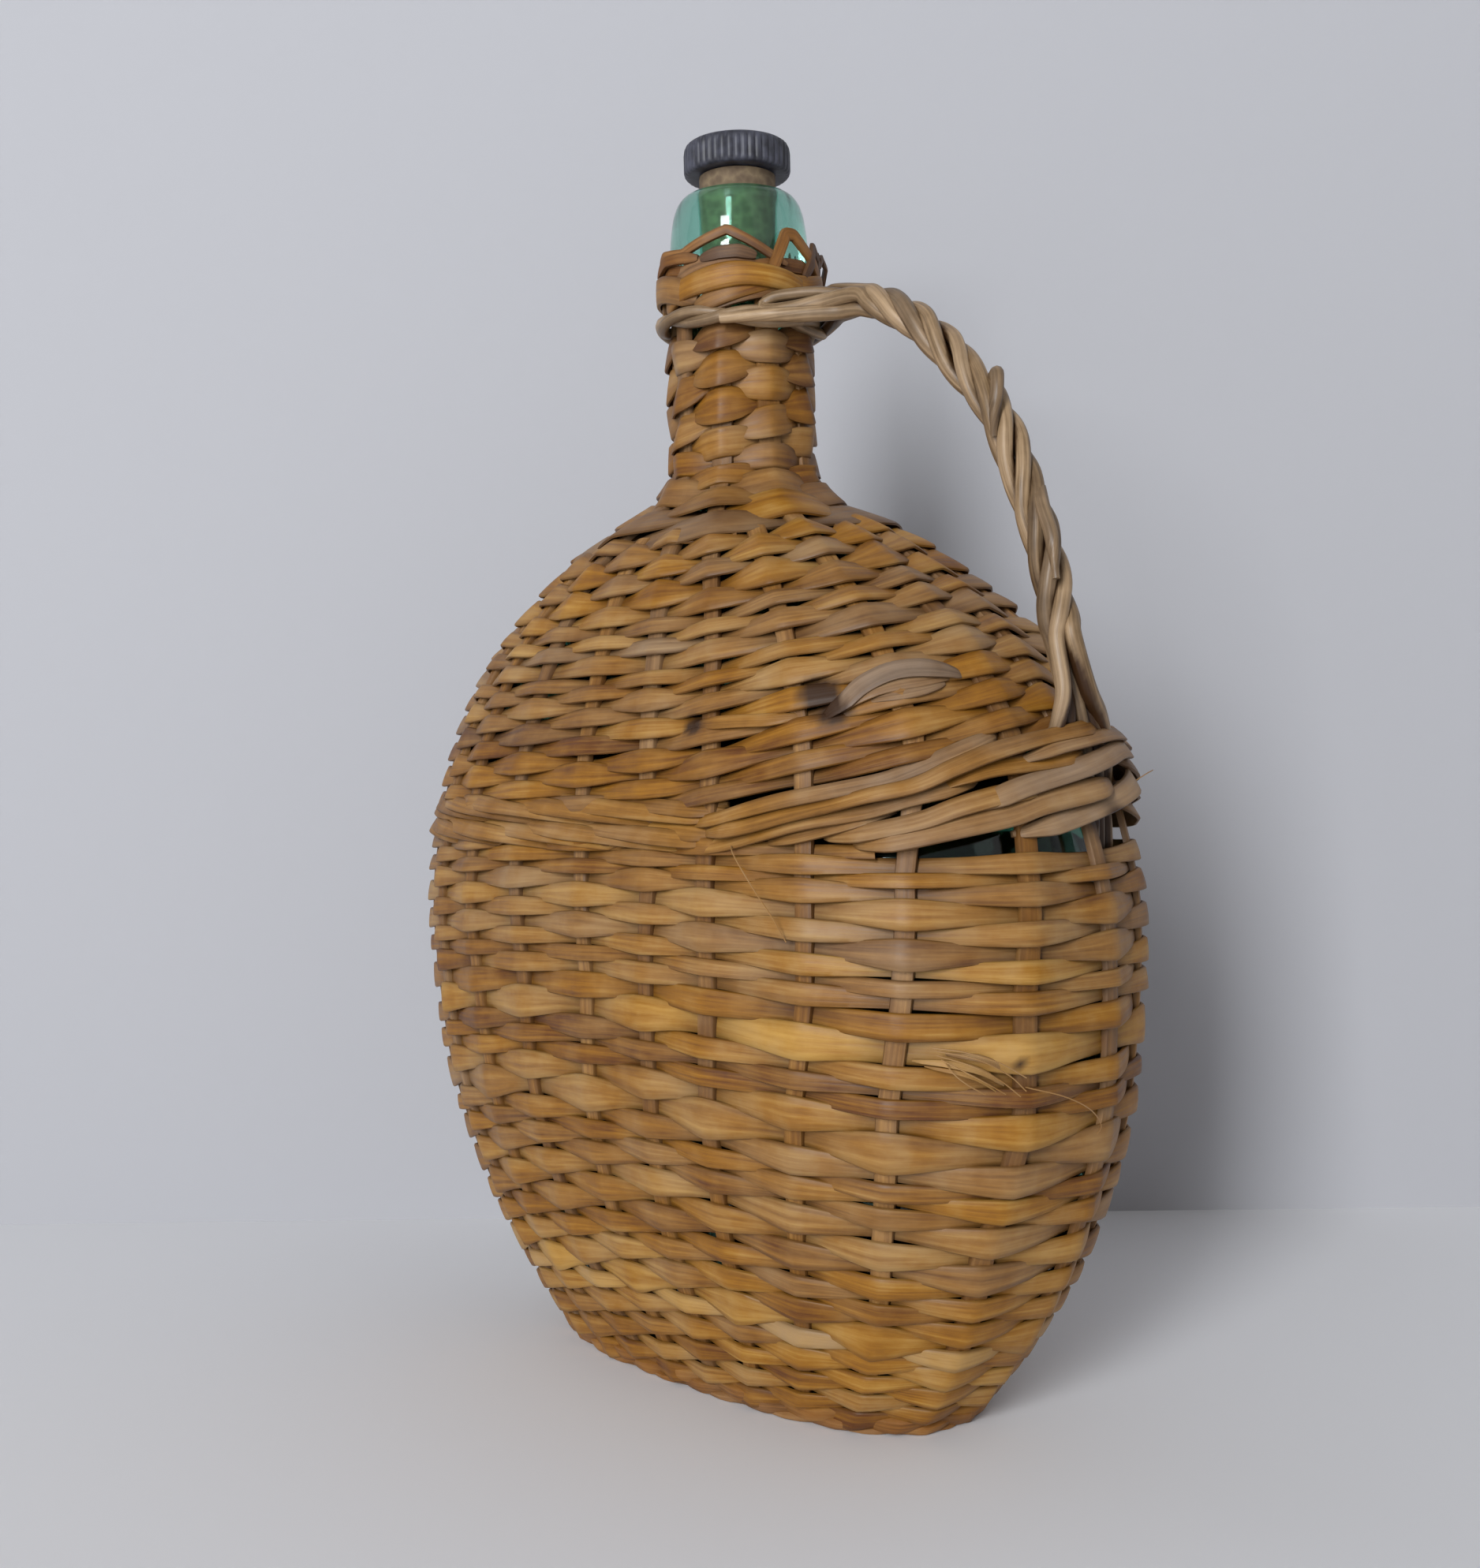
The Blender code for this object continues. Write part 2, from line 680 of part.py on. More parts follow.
def make_neck_weavers(surface):
    """Spiral weaver of the neck and the wide split under the collar."""
    stations = sorted(NECK_PLACES)
    bottom, pitch, rows = zone(BODY_HEIGHT * STAKE_END_SHARE, COLLAR_BOTTOM - NECK_WEFT_DROP)
    last = (rows - 1) * NECK_STAKE_COUNT
    rings = weaver_rings(stations, bottom, pitch, 0, last, NECK_WEFT_STEPS, NECK_WEFT_LIFT)
    loft("weft_neck", rings, surface)
    rings = []
    half = COLLAR_WEFT_WIDTH / 2.0
    heights = (COLLAR_WEFT_Z - half, COLLAR_WEFT_Z, COLLAR_WEFT_Z + half)
    for crossing in range(NECK_STAKE_COUNT):
        turn = stake_turn(stations[crossing], COLLAR_WEFT_Z)
        offset = WEFT_IN if crossing % 2 else WEFT_OUT
        rings.append(split_ring(turn, *heights, offset))
    loft("weft_collar", rings, surface)


def make_band(surface):
    """Strands that fan out from the handle's foot and run round, over two stakes, behind one."""
    end_turn = BAND_END_REACH / GIRTH
    station_turns = [STAKE_PHASE / GIRTH + i / STAKE_COUNT for i in range(STAKE_COUNT + 1)]
    for strand in range(BAND_STRANDS):
        middle = (strand + 0.5) / BAND_STRANDS
        half = BAND_WIDTH_SHARE / (2.0 * BAND_STRANDS)

        def ring_at(index, turn):
            heights = []
            for share in (middle - half, middle, middle + half):
                height = BAND_BOTTOM + BAND_HEIGHT * share
                heights.append(height + handle_lift(height, turn))
            behind = (index + strand) % BAND_REPEAT == 0
            return split_ring(turn, *heights, WEFT_IN if behind else WEFT_OUT)

        stations = [ring_at(i, turn) for i, turn in enumerate(station_turns)]
        start = (end_turn - station_turns[0]) * STAKE_COUNT
        stop = (1.0 - end_turn - station_turns[-2]) * STAKE_COUNT
        rings = [between(stations[0], stations[1], start)]
        rings += stations[1:-1]
        rings.append(between(stations[-2], stations[-1], stop))
        loft(f"band_strand_{strand + 1}", rings, surface)


def handle_curve():
    """Middle line of the handle, from the neck's ring over and down to the cover."""
    ring_outside = ring_radius() + RING_TWIST_RADIUS + RING_STRAND_RADIUS
    start = ring_outside + CLEARANCE
    route = [Vector((start, 0.0, mix(HANDLE_FOOT, HANDLE_TOP, HANDLE_START_SHARE)))]
    for reach, rise in HANDLE_SHARES:
        route.append(Vector((mix(start, HANDLE_REACH, reach), 0.0, mix(HANDLE_FOOT, HANDLE_TOP, rise))))
    seat = STAKE_IN + STAKE_THICKNESS + CLEARANCE + ROD_RADIUS
    upper = mix(HANDLE_FOOT, BAND_BOTTOM + BAND_HEIGHT, HANDLE_SEAT_SHARE)
    route += [wall_point(upper, 0.0, seat), wall_point(HANDLE_FOOT, 0.0, seat)]
    return smooth_route(route, ROD_STEPS)


def smooth_route(route, steps):
    """Even points on a smooth curve through a route, with the direction at each."""
    padded = [route[0] * 2.0 - route[1]] + route + [route[-1] * 2.0 - route[-2]]
    fine = []
    for a, b, c, d in zip(padded, padded[1:], padded[2:], padded[3:]):
        for i in range(ROUTE_SPANS):
            t = i / ROUTE_SPANS
            fine.append(
                0.5 * (2.0 * b + (c - a) * t + (2.0 * a - 5.0 * b + 4.0 * c - d) * t * t
                       + (3.0 * b - a - 3.0 * c + d) * t ** 3)
            )
    fine.append(route[-1])
    lengths = [0.0]
    for before, after in zip(fine, fine[1:]):
        lengths.append(lengths[-1] + (after - before).length)
    points = [read_table(lengths, fine, lengths[-1] * i / steps) for i in range(steps + 1)]
    directions = []
    for i in range(steps + 1):
        directions.append((points[min(i + 1, steps)] - points[max(i - 1, 0)]).normalized())
    return points, directions, lengths[-1]


def tube_ring(centre, direction, side, radius, sides):
    """Ring of a round rod, square to its direction."""
    up = direction.cross(side).normalized()
    across = up.cross(direction).normalized()
    points = []
    for i in range(sides):
        angle = 2.0 * math.pi * i / sides
        points.append(centre + (across * math.cos(angle) + up * math.sin(angle)) * radius)
    return points


def rod_offset(rod, share, turn):
    """Place of a rod across the handle: twisted with the others, then fanned side by side."""
    angle = 2.0 * math.pi * (rod / ROD_COUNT + turn)
    twisted = Vector((math.cos(angle), math.sin(angle))) * ROD_TWIST_RADIUS
    fan = (share - FAN_START_SHARE) / (1.0 - FAN_START_SHARE)
    if fan <= 0.0:
        return twisted
    fan_turn = math.floor(turn * ROD_COUNT) / ROD_COUNT
    order = fan_order(fan_turn)
    side = (order.index(rod) - (ROD_COUNT - 1) / 2.0) * FAN_SPACING
    spread = smoothstep(fan ** FAN_SPREAD_POWER)
    flatten = smoothstep(fan ** FAN_FLATTEN_POWER)
    return Vector((twisted.x * (1.0 - flatten), mix(twisted.y, side, spread)))


def fan_order(turn):
    """Rods in the order in which they lie side by side at the foot."""
    places = []
    for rod in range(ROD_COUNT):
        angle = 2.0 * math.pi * (rod / ROD_COUNT + turn)
        places.append((round(math.sin(angle), 3), math.cos(angle), rod))
    return [rod for _, _, rod in sorted(places)]


def make_handle(surface):
    """Four round rods twisted together, fanned out flat where they enter the cover."""
    points, directions, length = handle_curve()
    fan_index = int(FAN_START_SHARE * ROD_STEPS)
    for rod in range(ROD_COUNT):
        centres = []
        for i, (point, direction) in enumerate(zip(points, directions)):
            held = min(i, fan_index)
            turn = length * held / ROD_STEPS / ROD_TWIST_PITCH
            outward = Vector((direction.z, 0.0, -direction.x))
            if outward.dot(Vector((1.0, 0.0, 1.0))) < 0.0:
                outward.negate()
            place = rod_offset(rod, i / ROD_STEPS, turn)
            centres.append(point + outward * place.x - Vector((0.0, place.y, 0.0)))
        rings = []
        for i, centre in enumerate(centres):
            along = centres[min(i + 1, ROD_STEPS)] - centres[max(i - 1, 0)]
            level = Vector((0.0, 1.0, 0.0))
            rings.append(tube_ring(centre, along.normalized(), level, ROD_RADIUS, ROD_SIDES))
        loft(f"handle_rod_{rod + 1}", rings, surface, sharp_degrees=80.0)


def ring_radius():
    """Middle radius of the twisted ring that sits on the neck's stakes."""
    return NECK_RADIUS + WEFT_OUT + RING_TWIST_RADIUS + RING_STRAND_RADIUS


def make_neck_ring(surface):
    """Two thin rods twisted into a ring round the neck, which holds the handle's top."""
    radius = ring_radius()
    for strand in range(RING_STRANDS):
        centres = []
        for i in range(RING_STEPS):
            angle = 2.0 * math.pi * i / RING_STEPS
            twist = RING_TURNS * angle / 2.0 + math.pi * strand
            reach = radius + RING_TWIST_RADIUS * math.cos(twist)
            z = RING_Z + RING_TWIST_RADIUS * math.sin(twist)
            centres.append(Vector((reach * math.cos(angle), reach * math.sin(angle), z)))
        rings = []
        for i, centre in enumerate(centres[:-1]):
            along = centres[(i + 1) % RING_STEPS] - centres[i - 1]
            side = Vector((centre.x, centre.y, 0.0))
            rings.append(tube_ring(centre, along.normalized(), side, RING_STRAND_RADIUS, RING_SIDES))
        loft(f"neck_ring_{strand + 1}", rings, surface, sharp_degrees=80.0)


def make_neck_border(surface):
    """Folded stake ends: a flat zigzag with one peak over each neck stake."""
    inner = COLLAR_RADIUS + CLEARANCE
    rings = []
    corners = len(ZIGZAG_SHARES)
    for i in range(corners * NECK_STAKE_COUNT):
        angle = 2.0 * math.pi * (i / corners + NECK_STAKE_PHASE_SHARE) / NECK_STAKE_COUNT
        middle = COLLAR_BOTTOM + NECK_BORDER_LIFT + NECK_BORDER_RISE * ZIGZAG_SHARES[i % corners]
        ring = []
        for reach, rise in NECK_BORDER_OUTLINE_SHARES:
            radius = inner + NECK_BORDER_THICKNESS * reach
            z = middle + NECK_BORDER_WIDTH * rise
            ring.append(Vector((radius * math.cos(angle), radius * math.sin(angle), z)))
        rings.append(ring)
    loft("neck_border", rings, surface, closed=True)


def main():
    """Build every piece of the flask."""
    clear_objects()
    surfaces = make_materials()
    make_bottle(surfaces["glass"])
    make_stopper(surfaces["cork"], surfaces["cap"])
    make_foot(surfaces["stake"], surfaces["border"])
    for index in range(STAKE_COUNT):
        make_stake(index, surfaces["stake"])
    make_weavers(surfaces["weft"])
    make_band(surfaces["band"])
    make_neck_weavers(surfaces["weft"])
    make_neck_ring(surfaces["rod"])
    make_neck_border(surfaces["border"])
    make_handle(surfaces["rod"])


main()
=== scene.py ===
"""Dresses the rattan-covered pilgrim flask: split-willow weave, twisted handle, glass, cork and cap.

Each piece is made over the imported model, in the same metres and the same frame, and rides on
the flask or on its stopper.
"""

import math

import bmesh
import bpy
import numpy as np
from mathutils import Matrix, Vector


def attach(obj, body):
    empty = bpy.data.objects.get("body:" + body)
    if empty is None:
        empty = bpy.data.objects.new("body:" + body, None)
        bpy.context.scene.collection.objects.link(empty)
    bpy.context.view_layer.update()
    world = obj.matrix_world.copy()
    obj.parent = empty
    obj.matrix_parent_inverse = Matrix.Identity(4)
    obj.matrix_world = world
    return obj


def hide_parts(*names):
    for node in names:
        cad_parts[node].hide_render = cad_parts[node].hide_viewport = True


bl_info = {
    "name": "Rattan-covered flask",
    "version": (1, 0, 0),
    "blender": (4, 5, 0),
    "location": "View3D > Sidebar > Flask",
    "description": "Weaves the cover, handle, glass and stopper of a pilgrim flask",
    "category": "Mesh",
}

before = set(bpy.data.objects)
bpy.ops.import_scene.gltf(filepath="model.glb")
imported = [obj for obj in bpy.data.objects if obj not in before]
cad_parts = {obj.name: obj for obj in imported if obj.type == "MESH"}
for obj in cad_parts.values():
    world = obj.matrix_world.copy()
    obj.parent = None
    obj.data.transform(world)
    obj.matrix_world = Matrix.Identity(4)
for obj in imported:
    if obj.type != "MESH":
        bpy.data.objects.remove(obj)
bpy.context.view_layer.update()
MM = 0.001
ROUND = 2.0 * math.pi
FLOOR_GAP = 0.2 * MM
WELD_GAP = 0.002 * MM

# The bottle's outline, close to the CAD's: share of the height, half width and half depth
BODY_HEIGHT = 0.266
BODY_HALF_WIDTH = 0.1139
BODY_HALF_DEPTH = 0.0594
NECK_RADIUS = 0.0154
FLARE = np.array((
    (0.00, 0.506, 0.190), (0.08, 0.687, 0.400), (0.20, 0.872, 0.680), (0.35, 0.978, 0.915),
    (0.50, 1.000, 1.000), (0.62, 0.941, 0.939), (0.75, 0.777, 0.791), (0.86, 0.422, 0.560),
    (0.94, 0.062, 0.112), (0.97, 0.010, 0.016), (1.03, 0.000, 0.000), (1.30, 0.000, 0.000),
))
SECTION_POWER = 2.6
ROUND_POWER = 2.0
ROUNDING_SHARES = (0.70, 1.00)
STEP_SHARE = 0.004
STAKE_COUNT = 23
STAKE_PHASE = 2.2 * MM
NECK_STAKE_COUNT = 9
NECK_STAKE_PHASE_SHARE = 0.43
NECK_GATHER_SHARES = (0.890, 0.960)
STAKE_END_SHARE = 0.890
COLLAR_BOTTOM = 0.3115
BAND_TOP = 0.1667

# Heights in mm, front widths in mm, tone and greyness of the rows under the band, over it and on
# the neck, from the foot up. Tone runs from dark orange (0) to pale straw (1).
LOWER_ROWS = (
    (6.8, 5.0, .35, .0), (10, 4.5, .45, .1), (13, 5.0, .50, .1), (16.5, 5.0, .40, .2),
    (19.5, 4.5, .55, .1), (23, 6.0, .50, .0), (26, 4.5, .45, .2), (29, 4.5, .75, .6),
    (32.5, 8.5, .70, .1), (37, 5.5, .50, .1), (40.7, 5.5, .45, .1), (44.2, 4.5, .55, .2),
    (47.8, 5.5, .45, .0), (52.5, 6.5, .50, .3), (57, 7.0, .60, .1), (62.6, 7.5, .45, .2),
    (66.8, 5.5, .40, .1), (70.6, 5.0, .50, .2), (73.6, 4.0, .45, .1), (78.2, 6.0, .50, .3),
    (83.7, 8.5, .55, .5), (89.5, 7.0, .40, .1), (94.3, 3.8, .45, .1), (98.2, 4.5, .32, .1),
    (101.6, 5.5, .40, .1), (108, 8.5, .80, .1), (114.2, 6.5, .35, .0), (119.5, 5.0, .40, .2),
    (123, 4.0, .45, .3), (126.8, 5.0, .50, .3), (130.8, 6.2, .45, .2), (135.2, 5.0, .55, .5),
    (139.5, 6.0, .60, .6), (144, 5.0, .45, .4), (147, 3.5, .50, .4), (150.5, 5.0, .45, .3),
    (154, 4.0, .40, .3),
)
UPPER_ROWS = (
    (168.3, 3.8, .45, .4), (171.8, 4.5, .45, .2), (175.8, 6.0, .40, .0), (179, 5.5, .45, .1),
    (183, 5.0, .40, .2), (187, 5.5, .45, .3), (190.5, 5.0, .50, .5), (193.8, 6.5, .50, .7),
    (196.8, 4.0, .40, .3), (199.5, 4.0, .45, .2), (203.8, 5.0, .40, .1), (207.5, 4.5, .50, .6),
    (210, 3.5, .45, .3), (213, 3.5, .50, .6), (216.5, 5.5, .40, .2), (220.5, 6.5, .45, .0),
    (224.5, 5.0, .55, .6), (228, 6.5, .40, .0), (231.7, 5.5, .45, .3), (235, 4.0, .50, .4),
)
NECK_ROWS = (
    (233.5, 6.0, .42, .4), (238.3, 7.0, .45, .5), (242.8, 7.0, .36, .1), (247.6, 6.8, .42, .5),
    (252.6, 7.2, .38, .3), (257.6, 8.0, .34, .2), (262.9, 8.4, .38, .4), (268.2, 8.8, .40, .1),
    (273.7, 8.6, .42, .2), (279.1, 9.2, .36, .1), (284.4, 8.4, .42, .4), (289.6, 8.6, .44, .6),
    (294.4, 8.2, .34, .1), (298.6, 7.6, .38, .3),
)
# Share of the way round where the heights were read, for the rows below and above the band
FACE_PLACE_SHARE = 0.0972
UPPER_PLACE_SHARE = 0.162
# How much of its first round each spiral has behind it when it reaches its first row's height
LOWER_LEAD_TURNS, UPPER_LEAD_TURNS, NECK_LEAD_TURNS = 0.9, 0.85, 0.30
# Crossing at which the CAD's lower weaver ends and its middle one begins
LOWER_SPLIT = 17 * STAKE_COUNT + 9.0

# How far the rows rise from the narrow sides to the middle of a broad face, in mm, by height
SAG_MM = ((0, 0), (8, 0), (33, 3), (60, 4.2), (90, 4.4), (105, 4.3), (116, 3.5), (130, 2.7),
          (145, 2.0), (155, 1.0), (170, 0.0), (360, 0.0))
# How far the rows over the band climb to the handle, how far round that shows, and where it ends
HANDLE_CLIMB, CLIMB_REACH, CLIMB_TOP = 17 * MM, 112 * MM, 250 * MM
# The same for the lowest rows of the neck, with the height over which it fades
NECK_CLIMB, NECK_CLIMB_SHARE, NECK_CLIMB_TOP, NECK_CLIMB_FADE = 3.5 * MM, 0.2, 254 * MM, 18 * MM

# Drift of the stakes seen from the front, in mm, by height, from the handle side leftwards
DRIFT_HEIGHTS_MM = (0, 55, 90, 120, 148, 180, 215)
DRIFT_MM = {
    0: (2, 4.6, 5.5, 3.9, 2, 0, 0), 22: (-3, -6.4, 0.1, 0, 2.6, 6.6, 3),
    21: (-6, -8, -7, -2.5, -0.5, 6.5, 3), 20: (-6, -8, -5.7, -0.5, 0.3, 2.9, 1),
    19: (-5, -8, -6.9, -3.3, -3.3, -0.6, 0), 18: (-4, -6.1, -2.1, 0.8, 2.9, 0.9, 0),
    17: (-3, -5, -1.2, 2.9, 1.3, -1.2, 0), 16: (-2, -4, -2.4, 0.1, -3.4, -6.4, -3),
    15: (-1, -3.1, -0.6, -0.4, -3.1, -8, -4),
}

# Girth over the weave, along which the places of the band and the loose strips are measured, and
# how far off the glass they were measured
WEAVE_GIRTH_MM = 617.4
ROUTE_OFFSET = 5.5 * MM

# Routes of the band's strands from the handle to the broad face: distance round from the
# handle side and height, both in mm, then width in mm, lift over the stakes in mm, greyness, tone
BAND_ROUTES = (
    (((15, 180.5), (7.7, 181), (-8, 179), (-25.3, 176), (-36.8, 172.5), (-46.7, 168.8), (-58.7, 166.7),
      (-69.1, 164.4), (-80.8, 162.3), (-94, 159.6), (-108, 158)), 4.6, 2.3, .30, .50),
    (((-21, 179.5), (-29, 177.8), (-46.9, 172.2), (-54.7, 170.0), (-67.8, 168.0), (-80.5, 166.2),
      (-91.9, 164), (-103.4, 161.6), (-115, 160.3)), 4.6, 0.9, .75, .45),
    (((33, 178.2), (20, 179.3), (9.3, 178.9), (-6.8, 176.6), (-14, 174.7), (-20, 172.8)), 3.8, 2.6, .55, .50),
    (((33, 175.0), (18, 175.8), (7.3, 173.8), (-10.2, 169.8), (-21.3, 167.4), (-30.6, 164.5), (-36, 163)),
     5.8, 2.6, .75, .60),
    (((5, 175.5), (1.9, 175.1), (-11.2, 173.2), (-27.4, 171.8), (-35.9, 169.8),
      (-42, 167.5)), 5.0, 1.3, .10, .40),
    (((-10, 168.5), (-14.5, 167.1), (-26, 166), (-37.1, 163.6), (-46.5, 160.6), (-59.2, 158.3), (-72, 157)),
     5.0, 1.6, .20, .65),
    (((-30, 169), (-36.3, 168), (-47.8, 165.8), (-59.2, 163.1), (-75, 161.2), (-87.8, 158.6), (-101.8, 155.6),
      (-116, 154)), 4.8, 0.5, .30, .40),
    (((-52, 163), (-57.9, 161.8), (-67.3, 159.6), (-77.7, 157.4), (-90, 155.5)), 4.2, 0.3, .35, .40),
    (((14, 167.5), (4.3, 166.7), (-15.6, 163.8), (-25.6, 161.2), (-38, 158.9), (-52, 156.3), (-64, 155.2)),
     6.2, 2.2, .65, .50),
    (((33, 176.5), (30, 172.5), (24, 167.7), (10, 163.6), (-5.1, 160.4), (-18.4, 157.6), (-24, 156.4)),
     5.6, 1.7, .55, .55),
)
# The band's far part: share of the way round at its two ends; then the height of its lower layer,
# the rise to the next and a float's drop, in mm, and the share of a float after which it dives
WALE_TURNS = (-0.165, -0.775)
WALE_HEIGHT_MM, WALE_LAYER_MM, WALE_DROP_MM, WALE_DIVE_SHARE = 157.0, 6.4, 5.2, 0.86
# Where the strands cross the feet of the handle's rods: middle and reach round, heights between
# which they are lifted, and how far, all in mm
FOOT_MIDDLE_MM, FOOT_REACH_MM, FOOT_HEIGHTS_MM, FOOT_LIFT_MM = 14.0, 21.0, (158, 168), 3.4
# Loose and frayed strips on the broad face, laid out as the band's strands are
LOOSE_ROUTES = (
    (((-68, 185.2), (-60, 189.2), (-54, 192.6), (-46, 195.2), (-38, 195.7), (-31, 194.9),
      (-26, 193.6)), 4.8, 1.4, .80, .60),
    (((-63, 186.4), (-57, 189.2), (-51, 191.2), (-44, 192.3), (-37, 192.9),
      (-29, 193.4)), 3.6, 1.2, .70, .50),
    (((-56, 188.2), (-50, 189.0), (-44, 189.6), (-38, 190.4), (-32, 191.6)), 2.6, 1.0, .65, .45),
    (((-111, 184.9), (-97.2, 185.3), (-84.5, 185.3), (-74, 185.8)), 3.8, 1.5, .70, .50),
    (((-52, 105.6), (-43, 105.0), (-36, 103.0), (-30.0, 99.2)), 2.0, 0.9, .30, .90),
    (((-49, 104.4), (-41, 103.0), (-36, 100.8), (-32, 97.8)), 1.5, 1.0, .30, .85),
    (((-44, 107.2), (-37, 106.4), (-32, 104.4), (-28.0, 101.0)), 2.0, 1.0, .25, .80),
)
# Scorched spots: distance round and height of the middle, and reach, all in mm
SCORCHES_MM = ((-67.5, 191.1, 4.6), (-64.8, 186.4, 4.0), (-111, 184.9, 3.0), (-27, 104.5, 1.8),
               (8, 159.5, 5.0))
# Stray fibres: distance round, height and distance from the glass, all in mm
FIBRES_MM = (
    ((-97, 155, 7), (-95.3, 153.4, 9), (-92, 149.8, 10.5), (-87.8, 144.1, 10.5), (-84.1, 138.3, 9),
     (-81.8, 133, 7)),
    ((-26, 99, 7), (-17.2, 96.3, 9), (-9.3, 92.2, 10), (-3, 87.5, 9), (-0.8, 84.7, 7)),
    ((-46, 108.5, 7), (-38, 107, 8.5), (-31, 103, 9), (-26.5, 98.5, 8.5)),
    ((-46, 107.5, 7), (-39, 105.5, 8.8), (-33, 102, 9.4), (-28, 97.5, 9)),
    ((-45, 106.5, 7), (-41, 104.5, 8.6), (-36, 101.5, 9), (-31, 98, 8)),
    ((-47, 109.3, 7), (-40, 108.5, 8.6), (-33, 106, 9.4), (-27, 102, 9.6)),
    ((-44, 105.5, 7), (-42, 103.0, 8.4), (-39, 100.5, 8.6), (-35.5, 98.2, 8)),
    ((22, 166, 9), (28, 167.5, 13), (33, 168, 15)),
)

# Middle line of the handle, reach and height in mm, from the neck's ring down to the band
HANDLE_LINE_MM = (
    (24, 301.5), (38, 302.8), (52, 299.5), (65.5, 292.2), (74, 284.7), (80.5, 277), (87, 269.5),
    (91.8, 262.5),
    (94.6, 256.5), (96.6, 251), (99, 245), (101, 238.5), (103.5, 232.5), (105.3, 226.5), (106.6, 220.5),
    (107.6, 214), (109.2, 207.5), (111.5, 199), (112.5, 192), (112.5, 184), (112.5, 176),
)
# Where each rod of the handle comes from beside the neck and where it ends at the foot: x, y, z in mm
ROD_HEADS_MM = (
    ((9.0, 21.0, 300.5), (18.0, 16.5, 300.8), (25.5, 12.0, 301.2), (32.0, 7.5, 301.2), (39.0, 4.2, 300.6)),
    ((7.0, 22.5, 303.0), (17.0, 18.5, 304.0), (24.0, 12.5, 305.8), (30.0, 6.0, 307.0), (37.0, 2.0, 305.8)),
    ((40.0, -1.0, 304.2), (34.0, -3.8, 305.4), (28.0, -7.0, 305.6), (23.0, -9.6, 305.2), (20.4, -11.2, 303.6),
     (21.2, -11.8, 301.9), (25.0, -10.6, 301.3), (31.0, -7.6, 301.5), (38.0, -4.4, 302.2)),
    ((13.0, -21.0, 299.6), (25.0, -14.5, 299.2), (33.0, -8.0, 298.9), (40.0, -2.6, 299.0)),
)
ROD_TAILS_MM = (
    ((112.0, -3.6, 193), (110.8, -3.4, 187), (108.2, -3.0, 180.5), (105.0, -3.0, 174)),
    ((109.2, 0.8, 193), (109.8, 1.4, 186), (108.4, 2.0, 180), (105.4, 2.2, 174)),
    ((110.2, 5.8, 193), (110.2, 8.8, 187), (110.4, 12.0, 181), (109.4, 13.5, 172), (109.4, 14.0, 162),
     (110.0, 14.0, 150)),
    ((113.4, 4.6, 193), (112.0, 11.0, 187), (110.2, 16.0, 180.5), (108.6, 18.5, 174), (107.4, 19.5, 165),
     (108.2, 19.5, 157), (108.4, 19.5, 148)),
)
# Cut ends of the handle's spare rods: routes in mm and radius in mm
ROD_STUBS_MM = (
    (((88.0, 1.5, 272.0), (91.6, -1.2, 273.0), (94.2, -4.0, 272.6), (95.2, -5.6, 268.0), (94.4, -5.8, 262.0),
      (93.6, -5.0, 257.0)), 1.8),
    (((103.0, 0.6, 243.0), (106.8, -3.0, 237.0), (110.2, -4.8, 230.0), (111.9, -5.6, 219.5)), 1.9),
    (((109.4, 0.5, 203.0), (110.4, 2.8, 193.0), (110.4, 5.6, 186.0), (110.0, 8.0, 179.0), (109.4, 9.8, 170.0),
      (110.8, 10.4, 160.0), (111.0, 10.4, 149.0)), 2.0),
)
# Shares of the middle line between which the rods are twisted, and the twist's pitch at each end
TWIST_SHARES, PITCHES = (0.13, 0.84), (40 * MM, 64 * MM)
RING_HEIGHT, RING_DIP, RING_LAY = 301.8 * MM, 1.5 * MM, 1.45 * MM

# Strips round the collar: degrees round from the handle side, height and radius in mm; then width
# in mm, tone, greyness. The first group wraps the neck's top and the second stands round the glass.
WRAP_ROUTES = (
    (((-215, 306, 21.0), (-195, 309, 22.2), (-165, 311.6, 22.8), (-135, 312.4, 23.2), (-112, 311.6, 23.2),
      (-92, 309.2, 22.4), (-78, 306.8, 21.2)), 7.0, .45, .2),
    (((-118, 306.5, 21.0), (-98, 309.0, 22.2), (-65, 311.2, 23.0), (-45, 312.0, 23.2), (-24, 311.4, 23.2),
      (-6, 310.2, 22.8), (12, 308.2, 22.0), (30, 306.4, 21.2)), 6.6, .40, .1),
    (((-80, 304.2, 21.4), (-58, 306.4, 22.2), (-24, 310.4, 21.8), (-8, 310.6, 21.6), (12, 310.8, 22.8),
      (38, 313.6, 23.0), (62, 313.0, 22.8), (86, 310.0, 22.0), (104, 307.0, 21.2)), 5.2, .45, .3),
    (((-72, 303.8, 21.0), (-48, 306.0, 21.4), (-24, 308.0, 21.6), (0, 306.4, 22.2), (18, 305.0, 22.4),
      (34, 304.6, 21.4)), 4.2, .35, .2),
    (((14, 305.4, 21.0), (34, 307.8, 22.0), (70, 312.4, 22.8), (104, 313.8, 23.0), (136, 310.6, 22.4),
      (158, 307.0, 21.2)), 6.8, .45, .1),
    (((84, 305.2, 21.0), (104, 307.6, 22.0), (140, 312.4, 22.8), (172, 313.8, 23.0), (204, 310.6, 22.4),
      (228, 307.0, 21.2)), 6.8, .40, .3),
)
